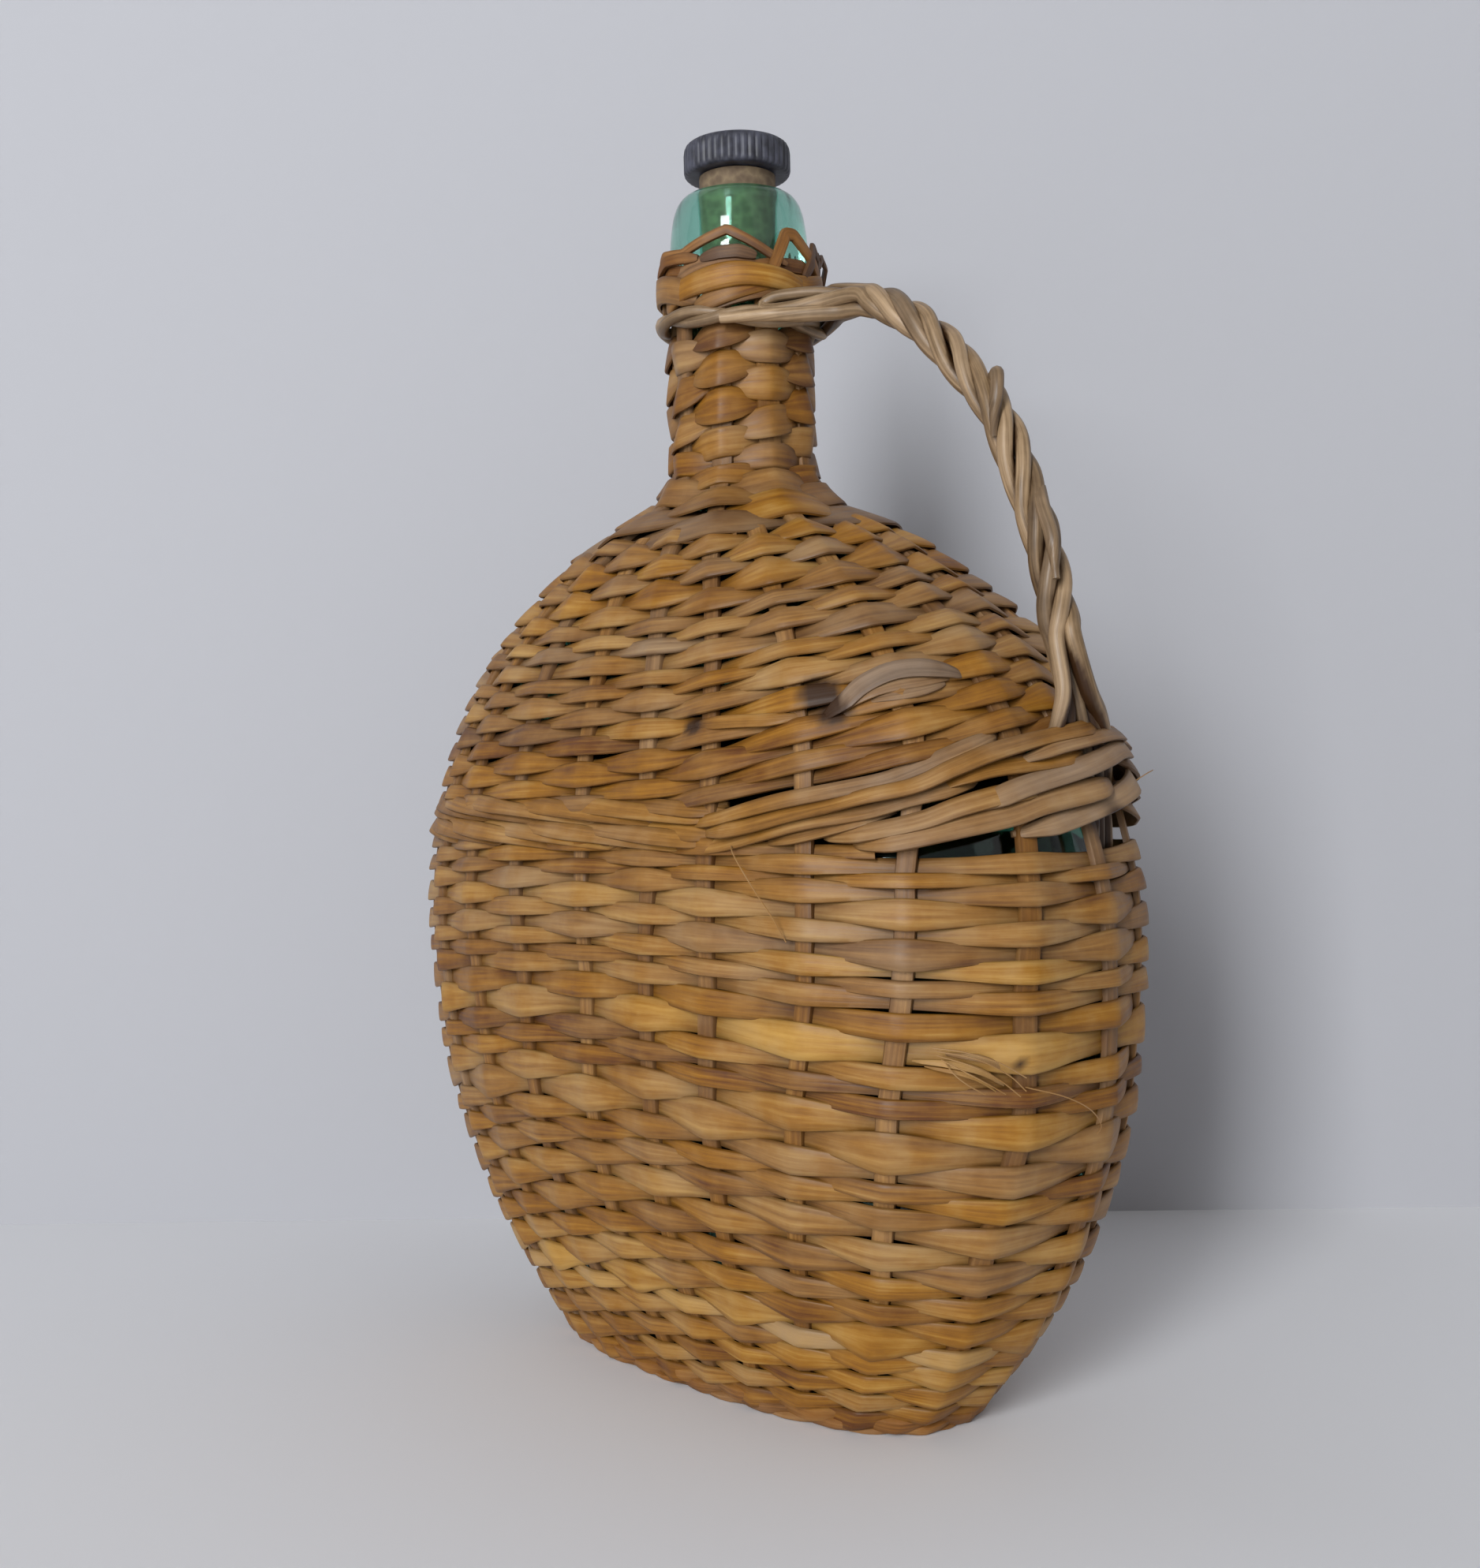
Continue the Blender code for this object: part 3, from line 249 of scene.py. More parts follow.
COLLAR_ROUTES = (
    (((-140, 318.5, 21.6), (-112, 321.2, 22.6), (-91, 320.0, 21.6), (-72, 322.6, 21.4), (-54, 325.0, 21.0),
      (-38, 321.8, 21.3), (-22, 318.0, 21.8), (-10, 315.4, 22.4)), 2.7, .25, .2),
    (((-128, 316.8, 22.8), (-108, 319.0, 23.0), (-92, 318.6, 22.4), (-76, 317.6, 21.8)), 3.0, .35, .1),
    (((-74, 317.2, 21.8), (-60, 318.2, 22.4), (-46, 318.4, 22.4), (-33, 317.2, 21.8)), 4.0, .15, .4),
    (((-24, 311.0, 22.8), (-20, 315.0, 22.8), (-14, 320.0, 22.2), (-8, 324.4, 21.4), (0, 324.6, 21.3),
      (10, 321.8, 21.6), (22, 318.4, 22.4), (32, 314.4, 22.8)), 3.6, .40, .1),
    (((8, 313.0, 22.6), (18, 318.0, 22.6), (28, 323.6, 21.6), (38, 319.6, 22.6), (46, 322.0, 23.4),
      (52, 320.2, 25.0), (56, 315.4, 24.2), (60, 311.4, 22.8)), 3.0, .15, .4),
    (((30, 317.0, 22.6), (42, 322.6, 22.2), (54, 317.0, 22.8), (66, 323.8, 21.4), (80, 317.4, 22.4),
      (94, 324.2, 21.4), (108, 317.0, 22.4), (120, 312.5, 22.8)), 2.8, .20, .3),
    (((98, 314.0, 22.6), (112, 319.0, 22.4), (126, 324.4, 21.4), (142, 317.6, 22.2), (158, 324.4, 21.4),
      (174, 317.6, 22.2), (190, 324.2, 21.4), (206, 317.4, 22.2), (222, 322.0, 21.8)), 2.8, .25, .2),
    (((-156, 312.6, 21.0), (-132, 315.2, 21.2), (-108, 316.2, 21.2), (-84, 314.0, 21.0)), 4.4, .25, .2),
    (((-102, 313.4, 21.0), (-78, 315.6, 21.4), (-54, 316.2, 21.6), (-30, 313.8, 21.0)), 4.6, .30, .3),
    (((-46, 313.0, 21.0), (-20, 315.2, 21.2), (8, 316.0, 21.4), (32, 313.6, 21.0)), 4.4, .20, .1),
    (((16, 313.0, 21.0), (44, 315.6, 21.4), (72, 316.0, 21.4), (98, 313.6, 21.0)), 4.6, .25, .2),
    (((84, 313.0, 21.0), (122, 315.8, 21.4), (164, 315.8, 21.4), (214, 313.4, 21.0)), 4.6, .22, .2),
)
COLLAR_REACH = 22.0

# Radius and height of the bottle's collar and mouth, in mm, from the neck up and inside
COLLAR_LINE_MM = (
    (15.4, 300), (15.4, 308), (16.2, 310.5), (18.6, 311.2), (19.8, 312.6), (20.2, 315), (20.2, 319),
    (20.1, 323.5), (19.8, 328), (19.3, 331.8), (18.7, 334.6), (17.8, 337), (16.5, 338.8), (14.9, 339.8),
    (13.2, 340), (12.2, 339.8), (11.5, 339.2), (11.2, 338.2), (11.2, 330), (11.2, 314), (11.6, 311),
    (12.2, 308),
    (12.2, 300),
)
# Underside of the bottle and thickness of its wall
BOTTLE_BOTTOM, GLASS_WALL, HEEL_RADIUS = 4.7 * MM, 3.2 * MM, 12 * MM
# Radius and height of the cork and of the cap, in mm
CORK_LINE_MM = ((0.0, 318), (9.4, 318), (10.1, 318.6), (10.4, 322), (10.7, 332), (10.9, 339), (11.05, 341),
                (11.1, 345.9), (0.0, 345.9))
CAP_LINE_MM = ((0.0, 346.3), (11.6, 346.25), (13.9, 346.2), (14.8, 346.3), (15.3, 346.8), (15.5, 347.6),
               (15.5, 350.0), (15.5, 352.4), (15.3, 353.6), (14.9, 354.5), (14.2, 355.0), (13.2, 355.2),
               (0.0, 355.2))
CAP_OUTER, FLUTE_START, FLUTE_BLEND = 15.5 * MM, 14.2 * MM, 1.1 * MM

# Camera and wall, from the fit to the photograph
CAMERA_PLACE = (0.3545, -0.3589, 0.1780)
CAMERA_LENS, SENSOR_WIDTH = 39.57, 36.0
CAMERA_TILT_DEGREES, CAMERA_ROLL_DEGREES = 0.94, 1.27
WALL_DISTANCE, WALL_TURN_DEGREES = 0.160, 2.2

# ---------------------------------------------------------------- sums


def smoothstep(value):
    """Ease from nought to one."""
    value = np.clip(value, 0.0, 1.0)
    return value * value * (3.0 - 2.0 * value)


def mix(first, second, share):
    """Blend two values."""
    return first * (1.0 - share) + second * share


def unit(vectors):
    """Vectors brought to length one."""
    return vectors / np.linalg.norm(vectors, axis=-1, keepdims=True)


def run_along(points):
    """Distances along a line of points, from nought."""
    return np.concatenate([[0.0], np.cumsum(np.linalg.norm(np.diff(points, axis=0), axis=1))])


def around(angle, reach=1.0, height=0.0):
    """Points round the neck's axis."""
    return np.stack([reach * np.cos(angle), reach * np.sin(angle), height + 0.0 * angle], axis=-1)


def wander(places, period, seed, reach=1.0):
    """Smooth random wandering along a line, with a given period and the same values each run."""
    places = np.asarray(places, float) / period
    low = np.floor(places)
    first, second = (np.sin((low + step) * 12.9898 + seed * 78.233) * 43758.5453 for step in (0, 1))
    return reach * (2.0 * mix(first % 1.0, second % 1.0, smoothstep(places - low)) - 1.0)


# ---------------------------------------------------------------- the bottle's wall


def curve_slopes(column):
    """Slopes at the outline's rows that keep a cubic through them from overshooting."""
    gaps = np.diff(FLARE[:, 0])
    steps = np.diff(FLARE[:, column]) / gaps
    slopes = [steps[0]]
    for before, after, left, right in zip(steps, steps[1:], gaps, gaps[1:]):
        near, far = 2.0 * right + left, right + 2.0 * left
        slopes.append(0.0 if before * after <= 0.0 else (near + far) / (near / before + far / after))
    slopes.append(steps[-1])
    return np.array(slopes)


FLARE_SLOPES = {column: curve_slopes(column) for column in (1, 2)}


def flare(share, column):
    """One column of the outline at shares of the body's height."""
    keys = FLARE[:, 0]
    share = np.clip(share, keys[0], keys[-1])
    low = np.clip(np.searchsorted(keys, share, side="left") - 1, 0, len(keys) - 2)
    gap = keys[low + 1] - keys[low]
    t = (share - keys[low]) / gap
    values, slopes = FLARE[:, column], FLARE_SLOPES[column]
    return (
        values[low] * (1 + 2 * t) * (1 - t) ** 2 + slopes[low] * gap * t * (1 - t) ** 2
        + values[low + 1] * t * t * (3 - 2 * t) + slopes[low + 1] * gap * t * t * (t - 1)
    )


def between(height, shares):
    """Ease from nought to one between two shares of the body's height."""
    low, high = shares
    return smoothstep((height / BODY_HEIGHT - low) / (high - low))


def roundness(height):
    """Nought on the body's squarish oval, one on the round neck."""
    return between(height, ROUNDING_SHARES)


def section(height, angle):
    """Points on the bottle's wall at heights and angles."""
    share = height / BODY_HEIGHT
    half_width = NECK_RADIUS + (BODY_HALF_WIDTH - NECK_RADIUS) * flare(share, 1)
    half_depth = NECK_RADIUS + (BODY_HALF_DEPTH - NECK_RADIUS) * flare(share, 2)
    power = 2.0 / mix(SECTION_POWER, ROUND_POWER, roundness(height))
    across, along = np.cos(angle), np.sin(angle)
    return np.stack([
        np.copysign(half_width * np.abs(across) ** power, across),
        np.copysign(half_depth * np.abs(along) ** power, along),
        height + 0.0 * across,
    ], axis=-1)


# Distances round the body's widest section, by angle
TURN_ANGLES = np.linspace(0.0, ROUND, 1441)
TURN_DISTANCES = run_along(section(np.full(TURN_ANGLES.shape, BODY_HEIGHT * 0.5), TURN_ANGLES))
GIRTH = float(TURN_DISTANCES[-1])


def wall_base(height, turn):
    """Points on the wall at heights and shares of the way round from the handle side."""
    height, turn = np.broadcast_arrays(np.asarray(height, float), np.asarray(turn, float))
    whole = np.floor(turn)
    even = whole + np.interp((turn - whole) * GIRTH, TURN_DISTANCES, TURN_ANGLES) / ROUND
    return section(height, ROUND * mix(even, turn, roundness(height)))


def wall_normal(height, turn):
    """Outward normals of the wall."""
    rise = BODY_HEIGHT * STEP_SHARE
    across = wall_base(height, turn + STEP_SHARE) - wall_base(height, turn - STEP_SHARE)
    up = wall_base(height + rise, turn) - wall_base(height - rise, turn)
    return unit(np.cross(across, up))


def wall(height, turn, offset):
    """Points raised from the wall along its normal."""
    height, turn, offset = np.broadcast_arrays(height, turn, offset)
    return wall_base(height, turn) + wall_normal(height, turn) * offset[..., None]


# The body's stakes that climb on up the neck, with their places there
NECK_PLACES = {}
for place in range(NECK_STAKE_COUNT):
    neck_turn = (place + NECK_STAKE_PHASE_SHARE) / NECK_STAKE_COUNT
    NECK_PLACES[round((neck_turn - STAKE_PHASE / GIRTH) * STAKE_COUNT) % STAKE_COUNT] = neck_turn


def stake_turn(index, height):
    """Share of the way round at which a stake stands, by height."""
    height = np.asarray(height, float)
    turn = STAKE_PHASE / GIRTH + index / STAKE_COUNT
    if index in DRIFT_MM:
        turn = turn + np.interp(height / MM, DRIFT_HEIGHTS_MM, DRIFT_MM[index]) * MM / GIRTH
    else:
        turn = turn + wander(height, 60 * MM, 700 + index, 2.0 * MM) / GIRTH * (1.0 - roundness(height))
    if index not in NECK_PLACES:
        return turn + 0.0 * height
    target = NECK_PLACES[index] + round(float(np.mean(turn)) - NECK_PLACES[index])
    return mix(turn, target, between(height, NECK_GATHER_SHARES))


# ---------------------------------------------------------------- swept pieces

# Across and outward shares round a split rod's section, flat to the glass
SPLIT_SECTION = np.array((
    (-1.00, 0.00), (-1.00, 0.60), (-0.90, 0.93), (-0.45, 1.04), (0.00, 1.08), (0.45, 1.04), (0.90, 0.93),
    (1.00, 0.60), (1.00, 0.00), (-1.00, 0.00),
))
ACROSS, OUTWARD = SPLIT_SECTION[None, :, 0], SPLIT_SECTION[None, :, 1]
SECTION_MIDDLE = 4


def stained_and_shaded(tone, grey, dirt_and_shade, edge_start=1.0, edge_shade=0.0):
    """Tone, greyness and darkening along a strand, the darkening mostly painted shade where it tucks or sinks
    under; a split rod may also get painted shade along its edges.
    """
    stain = np.stack(np.broadcast_arrays(tone, grey, dirt_and_shade), axis=-1)[:, None, :]
    if edge_shade == 0.0:
        return stain
    edge = np.clip(np.abs(SPLIT_SECTION[:, 0]) - edge_start, 0.0, 1.0) * edge_shade
    return stain + edge[None, :, None] * np.array((0.0, 0.0, 1.0))


def place_mesh(bm, name, surface, body, nodes, sharp=40.0, mesh=None):
    """Recalculate the normals, shade the mesh and make it a piece that rides on a body."""
    bmesh.ops.recalc_face_normals(bm, faces=bm.faces)
    mesh = mesh or bpy.data.meshes.new(name)
    bm.to_mesh(mesh)
    bm.free()
    if not mesh.polygons:
        raise RuntimeError(f"{name} has no faces")
    mesh.shade_smooth()
    mesh.set_sharp_from_angle(angle=math.radians(sharp))
    mesh.materials.append(surface)
    made = bpy.data.objects.new(name, mesh)
    bpy.context.scene.collection.objects.link(made)
    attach(made, body)
    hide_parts(*nodes)


class Bundle:
    """Grids that are wrapped into rods or ribbons and joined into one mesh."""

    def __init__(self):
        self.bm = bmesh.new()
        self.points, self.marks, self.stains_and_shade = [], [], []

    def add(self, points, lengths, across, stain):
        """Add one strand: rings of points, with each ring's last point on its first."""
        rings, corners = points.shape[:2]
        bmesh.ops.create_grid(self.bm, x_segments=corners - 1, y_segments=rings - 1, size=1.0)
        self.points.append(points.reshape(-1, 3))
        marks = np.stack(np.broadcast_arrays(lengths[:, None], across), axis=-1)
        self.marks.append(marks.reshape(-1, 2))
        self.stains_and_shade.append(np.broadcast_to(stain, (rings, corners, 3)).reshape(-1, 3))

    def finish(self, name, surface, slot, nodes, sharp=50.0):
        """Move the grids' points into place, close seams and ends, and place the piece."""
        mesh = bpy.data.meshes.new(name)
        self.bm.to_mesh(mesh)
        self.bm.free()
        points, marks = np.concatenate(self.points), np.concatenate(self.marks)
        points[:, 2] = np.maximum(points[:, 2], FLOOR_GAP)
        mesh.vertices.foreach_set("co", points.astype(np.float32).ravel())
        stains_and_shade = np.concatenate(self.stains_and_shade)
        # Scorch marks, which the flask really has, darken the same channel that holds the painted shade
        for place, height, reach in SCORCHES_MM:
            middle = wall(height * MM, place / WEAVE_GIRTH_MM, ROUTE_OFFSET)
            away = np.linalg.norm((points - middle) / (1.0, 1.0, 0.75), axis=1) / (reach * MM)
            stains_and_shade[:, 2] += 1.2 * smoothstep(1.6 - away)
        index = np.empty(len(mesh.loops), dtype=np.int32)
        mesh.loops.foreach_get("vertex_index", index)
        strip = mesh.uv_layers.new(name="strip")
        strip.data.foreach_set("uv", marks[index].astype(np.float32).ravel())
        stain = mesh.attributes.new("stain", "FLOAT_COLOR", "POINT")
        colours = np.concatenate([np.clip(stains_and_shade, 0.0, 1.0), np.ones((len(points), 1))], axis=1)
        stain.data.foreach_set("color", colours.astype(np.float32).ravel())
        bm = bmesh.new()
        bm.from_mesh(mesh)
        bmesh.ops.remove_doubles(bm, verts=bm.verts, dist=WELD_GAP)
        bmesh.ops.holes_fill(bm, edges=[edge for edge in bm.edges if edge.is_boundary], sides=0)
        place_mesh(bm, name, surface, "flask", nodes, sharp, mesh)


def ribbon(bundle, places, stations, heights, halves, offsets, thickness, stain, rolls, chord, shift):
    """Lay a split rod on the wall through stations; it runs straighter than the wall between them.

    places are station counts at the rings; stations gives the turn at each whole count, and
    heights, halves, offsets and rolls are functions of the places.
    """
    def rings_at(at):
        turn = np.interp(at, *stations)
        across = ACROSS * halves(at)[:, None]
        lift = offsets(at)[:, None] + OUTWARD * thickness + ACROSS * rolls(at)[:, None]
        return wall(heights(at, turn)[:, None] + across, turn[:, None] + 0.0 * across, lift)

    whole = np.arange(math.floor(places[0]), math.ceil(places[-1]) + 1)
    posts = rings_at(whole.astype(float))
    low = np.clip(np.floor(places).astype(int) - whole[0], 0, len(whole) - 2)
    straight = mix(posts[low], posts[low + 1], (places - whole[low])[:, None, None])
    points = mix(rings_at(places), straight, chord)
    bundle.add(points, run_along(points[:, SECTION_MIDDLE]) + shift, ACROSS * 2.5 * MM, stain)


def tube(bundle, centres, radii, stain, sides=10, shift=0.0, side=(0.0, 1.0, 0.0), inner=None):
    """Lay a round rod along its centres, with painted shade on the side that faces the inner points."""
    along = unit(np.gradient(centres, axis=0))
    up = unit(np.cross(along, np.broadcast_to(np.asarray(side, float), along.shape)))
    out = np.cross(up, along)
    angles = np.linspace(0.0, ROUND, sides + 1)
    radii = np.broadcast_to(radii, (len(centres),))
    circle = np.cos(angles)[None, :, None] * out[:, None] + np.sin(angles)[None, :, None] * up[:, None]
    points = centres[:, None] + circle * radii[:, None, None]
    points[:, -1] = points[:, 0]
    if inner is not None:
        apart = np.linalg.norm(centres[:, None] - inner[None], axis=2)
        inward = inner[apart.argmin(axis=1)] - centres
        inward /= np.maximum(1e-9, np.linalg.norm(inward, axis=1, keepdims=True))
        # Painted shade: the side of a rod that faces the inner points is darkened, as in the grooves between
        # twisted rods
        groove_shade_mask = smoothstep((np.sum(circle * inward[:, None], axis=2) + 0.10) / 0.6)
        stain = stain + groove_shade_mask[:, :, None] * np.array((-0.2, 0.0, 1.2))
    bundle.add(points, run_along(centres) + shift, radii[:, None] * angles[None, :], stain)


def smooth_line(route, step):
    """Even points along a smooth curve through a route."""
    route = np.asarray(route, float)
    padded = np.vstack([2 * route[0] - route[1], route, 2 * route[-1] - route[-2]])
    fine = []
    for a, b, c, d in zip(padded, padded[1:], padded[2:], padded[3:]):
        for t in np.linspace(0.0, 1.0, 24, endpoint=False):
            fine.append(0.5 * (2 * b + (c - a) * t + (2 * a - 5 * b + 4 * c - d) * t * t
                               + (3 * b - a - 3 * c + d) * t ** 3))
    fine = np.array(fine + [route[-1]])
    lengths = run_along(fine)
    even = np.linspace(0.0, lengths[-1], max(2, int(lengths[-1] / step)))
    return np.stack([np.interp(even, lengths, fine[:, i]) for i in range(route.shape[1])], axis=1)


def folded_line(route, step):
    """Even points along a route of straight pieces with small round folds."""
    lengths = run_along(route)
    even = np.linspace(0.0, lengths[-1], max(4, int(lengths[-1] / step)))
    line = np.stack([np.interp(even, lengths, route[:, i]) for i in range(3)], axis=1)
    inner = 0.25 * line[:-2] + 0.5 * line[1:-1] + 0.25 * line[2:]
    return np.vstack([line[:1], inner, line[-1:]])


# ---------------------------------------------------------------- colours and materials


def hex_linear(code, alpha=1.0):
    """Turn an sRGB hex colour into linear values."""
    parts = [int(code[i:i + 2], 16) / 255.0 for i in (1, 3, 5)]
    return (*(c / 12.92 if c <= 0.04045 else ((c + 0.055) / 1.055) ** 2.4 for c in parts), alpha)


def shaded(tint, share):
    """A darker or lighter version of a linear colour."""
    return (*(min(1.0, c * share) for c in tuple(tint)[:3]), 1.0)


def feed(tree, node, inputs):
    """Set or link a node's inputs; a node given as a value stands for its first output."""
    for key, value in inputs.items():
        if isinstance(value, bpy.types.Node):
            value = value.outputs[0]
        if isinstance(value, bpy.types.NodeSocket):
            tree.links.new(value, node.inputs[key])
        else:
            node.inputs[key].default_value = value


def add(tree, kind, inputs=None, **settings):
    """Add one node with its settings, fixed inputs and links."""
    node = tree.nodes.new("ShaderNode" + kind)
    for name, value in settings.items():
        setattr(node, name, value)
    feed(tree, node, inputs or {})
    return node


def maths(tree, operation, *values, clamp=False):
    """Work out one sum on nodes."""
    return add(tree, "Math", dict(enumerate(values)), operation=operation, use_clamp=clamp)


def noise(tree, place, scale, detail, roughness=0.5):
    """Add noise at a place."""
    return add(tree, "TexNoise", {"Vector": place, "Scale": scale, "Detail": detail, "Roughness": roughness})


def ramp(tree, value, *stops):
    """Turn a value into a colour through stops of position and colour."""
    node = add(tree, "ValToRGB", {0: value})
    elements = node.color_ramp.elements
    while len(elements) < len(stops):
        elements.new(0.5)
    for element, (position, tint) in zip(elements, stops):
        element.position, element.color = position, tint
    return node


def blend(tree, share, first, second):
    """Blend two colours and return the socket."""
    return add(tree, "Mix", {0: share, 6: first, 7: second}, data_type="RGBA").outputs[2]


def start_material(name):
    """Make a node material and return it with its tree and its shader."""
    made = bpy.data.materials.new(name)
    made.use_nodes = True
    tree = made.node_tree
    return made, tree, tree.nodes["Principled BSDF"]


def willow(name, dark, middle, light, grey, roughness):
    """Split willow, peeled and aged: long fibres, dull rind, and dark brown painted shade in the tucks, along
    the edges and in the grooves, with scorch marks in the same brown.
    """
    made, tree, shader = start_material(name)
    place = add(tree, "TexCoord").outputs["Object"]
    strip = add(tree, "UVMap", uv_map="strip")
    parts = add(tree, "SeparateColor", {0: add(tree, "Attribute", attribute_name="stain")}).outputs
    # Fibres are 0.1 mm wide in the real rod; 0.8 mm here, so that they show, and 20 mm long
    fibre = noise(tree, add(tree, "Mapping", {"Vector": strip, "Scale": (50.0, 1250.0, 1.0)}), 1.0, 3.0, 0.6)
    # Broad streaks 2 mm wide and 60 mm long, where the rod was split
    streak = noise(tree, add(tree, "Mapping", {"Vector": strip, "Scale": (16.0, 500.0, 1.0)}), 1.0, 2.0)
    # Weathering in patches of about 12 mm
    wear = maths(tree, "MULTIPLY_ADD", noise(tree, place, 80.0, 4.0, 0.55), 0.85, -0.425)
    tone = maths(tree, "ADD", parts[0], maths(tree, "MULTIPLY_ADD", fibre, 0.90, -0.45))
    tone = maths(tree, "ADD", tone, maths(tree, "MULTIPLY_ADD", streak, 0.85, -0.425))
    tone = maths(tree, "ADD", tone, wear)
    clean = ramp(tree, tone, (0.0, dark), (0.5, middle), (1.0, light))
    # Grey where the rind has weathered, following the same streaks
    greys = ramp(tree, tone, (0.0, shaded(grey, 0.45)), (0.55, grey), (1.0, shaded(grey, 1.35)))
    faded = blend(tree, maths(tree, "ADD", parts[1], wear, clamp=True), clean, greys)
    dull = add(tree, "MapRange", {0: fibre, 1: 0.3, 2: 0.7, 3: roughness - 0.08, 4: roughness + 0.12})
    relief = add(tree, "Bump", {"Height": fibre, "Strength": 0.6, "Distance": 0.15 * MM})
    split = {"Height": streak, "Strength": 0.5, "Distance": 0.4 * MM, "Normal": relief}
    feed(tree, shader, {
        # Dark brown blended in by the third channel: painted shade in tucks, on edges and in grooves, and the
        # real scorch marks
        "Base Color": blend(tree, parts[2], faded, hex_linear("#38220f")),
        "Roughness": dull,
        "Normal": add(tree, "Bump", split),
        "Specular IOR Level": 0.38,
    })
    return made


def bottle_glass(tint):
    """Blown soda-lime glass, tinted teal by iron: sharp reflections over a deep green body."""
    made, tree, shader = start_material("teal_blown_glass")
    place = add(tree, "TexCoord").outputs["Object"]
    # Ripples of the blown surface, about 5 mm across
    ripple = noise(tree, place, 200.0, 1.0)
    feed(tree, shader, {
        "Base Color": tint, "Roughness": 0.06, "IOR": 1.5, "Transmission Weight": 1.0,
        "Normal": add(tree, "Bump", {"Height": ripple, "Strength": 0.15, "Distance": 0.3 * MM}),
    })
    # Light that falls through the wall of glass still lights what is inside
    shadow = add(tree, "LightPath").outputs["Is Shadow Ray"]
    clear = add(tree, "BsdfTransparent", {"Color": (1.0, 1.0, 1.0, 1.0)})
    feed(tree, tree.nodes["Material Output"],
         {"Surface": add(tree, "MixShader", {0: shadow, 1: shader, 2: clear})})
    return made


def cork_surface(tint):
    """Agglomerated cork, cut and sanded: close brown grains with a few dark pores."""
    made, tree, shader = start_material("agglomerated_cork_sanded")
    place = add(tree, "TexCoord").outputs["Object"]
    # Grains of 2.4 mm
    grain = add(tree, "TexVoronoi", {"Vector": place, "Scale": 420.0})
    # Flecks of 1 mm
    fleck = noise(tree, place, 900.0, 3.0)
    shade = add(tree, "Mix", {0: 0.4, 2: grain, 3: fleck})
    tints = (0.05, hex_linear("#584736")), (0.45, tint), (0.9, hex_linear("#8e7b5e"))
    feed(tree, shader, {
        "Base Color": ramp(tree, shade, *tints),
        "Roughness": 0.85,
        "Normal": add(tree, "Bump", {"Height": shade, "Strength": 0.4, "Distance": 0.2 * MM}),
    })
    return made


def cap_plastic(tint):
    """Injection-moulded ABS: even slate grey, satin, with a fine spark-eroded texture."""
    made, tree, shader = start_material("moulded_abs_slate")
    place = add(tree, "TexCoord").outputs["Object"]
    # Eroded texture of 0.4 mm
    grain = noise(tree, place, 2500.0, 2.0)
    # Scuffs of 4 mm lift the grey a little
    scuff = noise(tree, place, 260.0, 3.0)
    feed(tree, shader, {
        "Base Color": ramp(tree, scuff, (0.35, tint), (0.75, hex_linear("#4b4c58"))),
        "Roughness": 0.48,
        "Normal": add(tree, "Bump", {"Height": grain, "Strength": 0.25, "Distance": 0.05 * MM}),
    })
    return made


def plain_paint(name, tint, see_through):
    """Matt wall paint; from behind it lets the camera through."""
    made, tree, shader = start_material(name)
    feed(tree, shader, {"Base Color": tint, "Roughness": 0.9, "Specular IOR Level": 0.2})
    if see_through:
        behind = add(tree, "NewGeometry").outputs["Backfacing"]
        feed(tree, tree.nodes["Material Output"],
             {"Surface": add(tree, "MixShader", {0: behind, 1: shader, 2: add(tree, "BsdfTransparent")})})
    return made


# Willow finishes: material name, dark, middle and light tones and grey, then roughness. A tone is
# an sRGB code or the name of one of the colours that a user may change.
WILLOWS = {
    "stake": ("split_willow_stake_peeled", "#5e3812", "stake", "#b0803f", "weathered", 0.55),
    "weaver": ("split_willow_weaver_peeled", "weaver_dark", "weaver", "weaver_light", "weathered", 0.50),
    "band": ("weathered_willow_strand_split", "#5c370f", "#926426", "#b58a4a", "#83705f", 0.50),
    "rod": ("peeled_willow_rod_round", "#3c2a19", "rod", "#bb9d79", "weathered", 0.40),
    "border": ("dark_willow_border_split", "#55300f", "#8a5a24", "#a87a40", "weathered", 0.55),
}
OTHER_FINISHES = {"glass": bottle_glass, "cork": cork_surface, "cap": cap_plastic}
SURFACES = {}


def surface(finish):
    """A finish by name, made from the scene's colours when first asked for."""
    if finish not in SURFACES:
        colours = bpy.context.scene.flask_colours
        if finish in OTHER_FINISHES:
            SURFACES[finish] = OTHER_FINISHES[finish](getattr(colours, finish))
        else:
            name, *tones, roughness = WILLOWS[finish]
            tones = [hex_linear(tone) if tone[0] == "#" else getattr(colours, tone) for tone in tones]
            SURFACES[finish] = willow(name, *tones, roughness)
    return SURFACES[finish]


# ---------------------------------------------------------------- settings


def length(name, description, millimetres):
    """A length that a user may change."""
    return bpy.props.FloatProperty(
        name=name, description=description, default=millimetres * MM, unit="LENGTH", subtype="DISTANCE",
        min=0.0, precision=4)


def colour(name, description, code):
    """A colour that a user may change."""
    return bpy.props.FloatVectorProperty(
        name=name, description=description, default=hex_linear(code), size=4, subtype="COLOR",
        min=0.0, max=1.0)


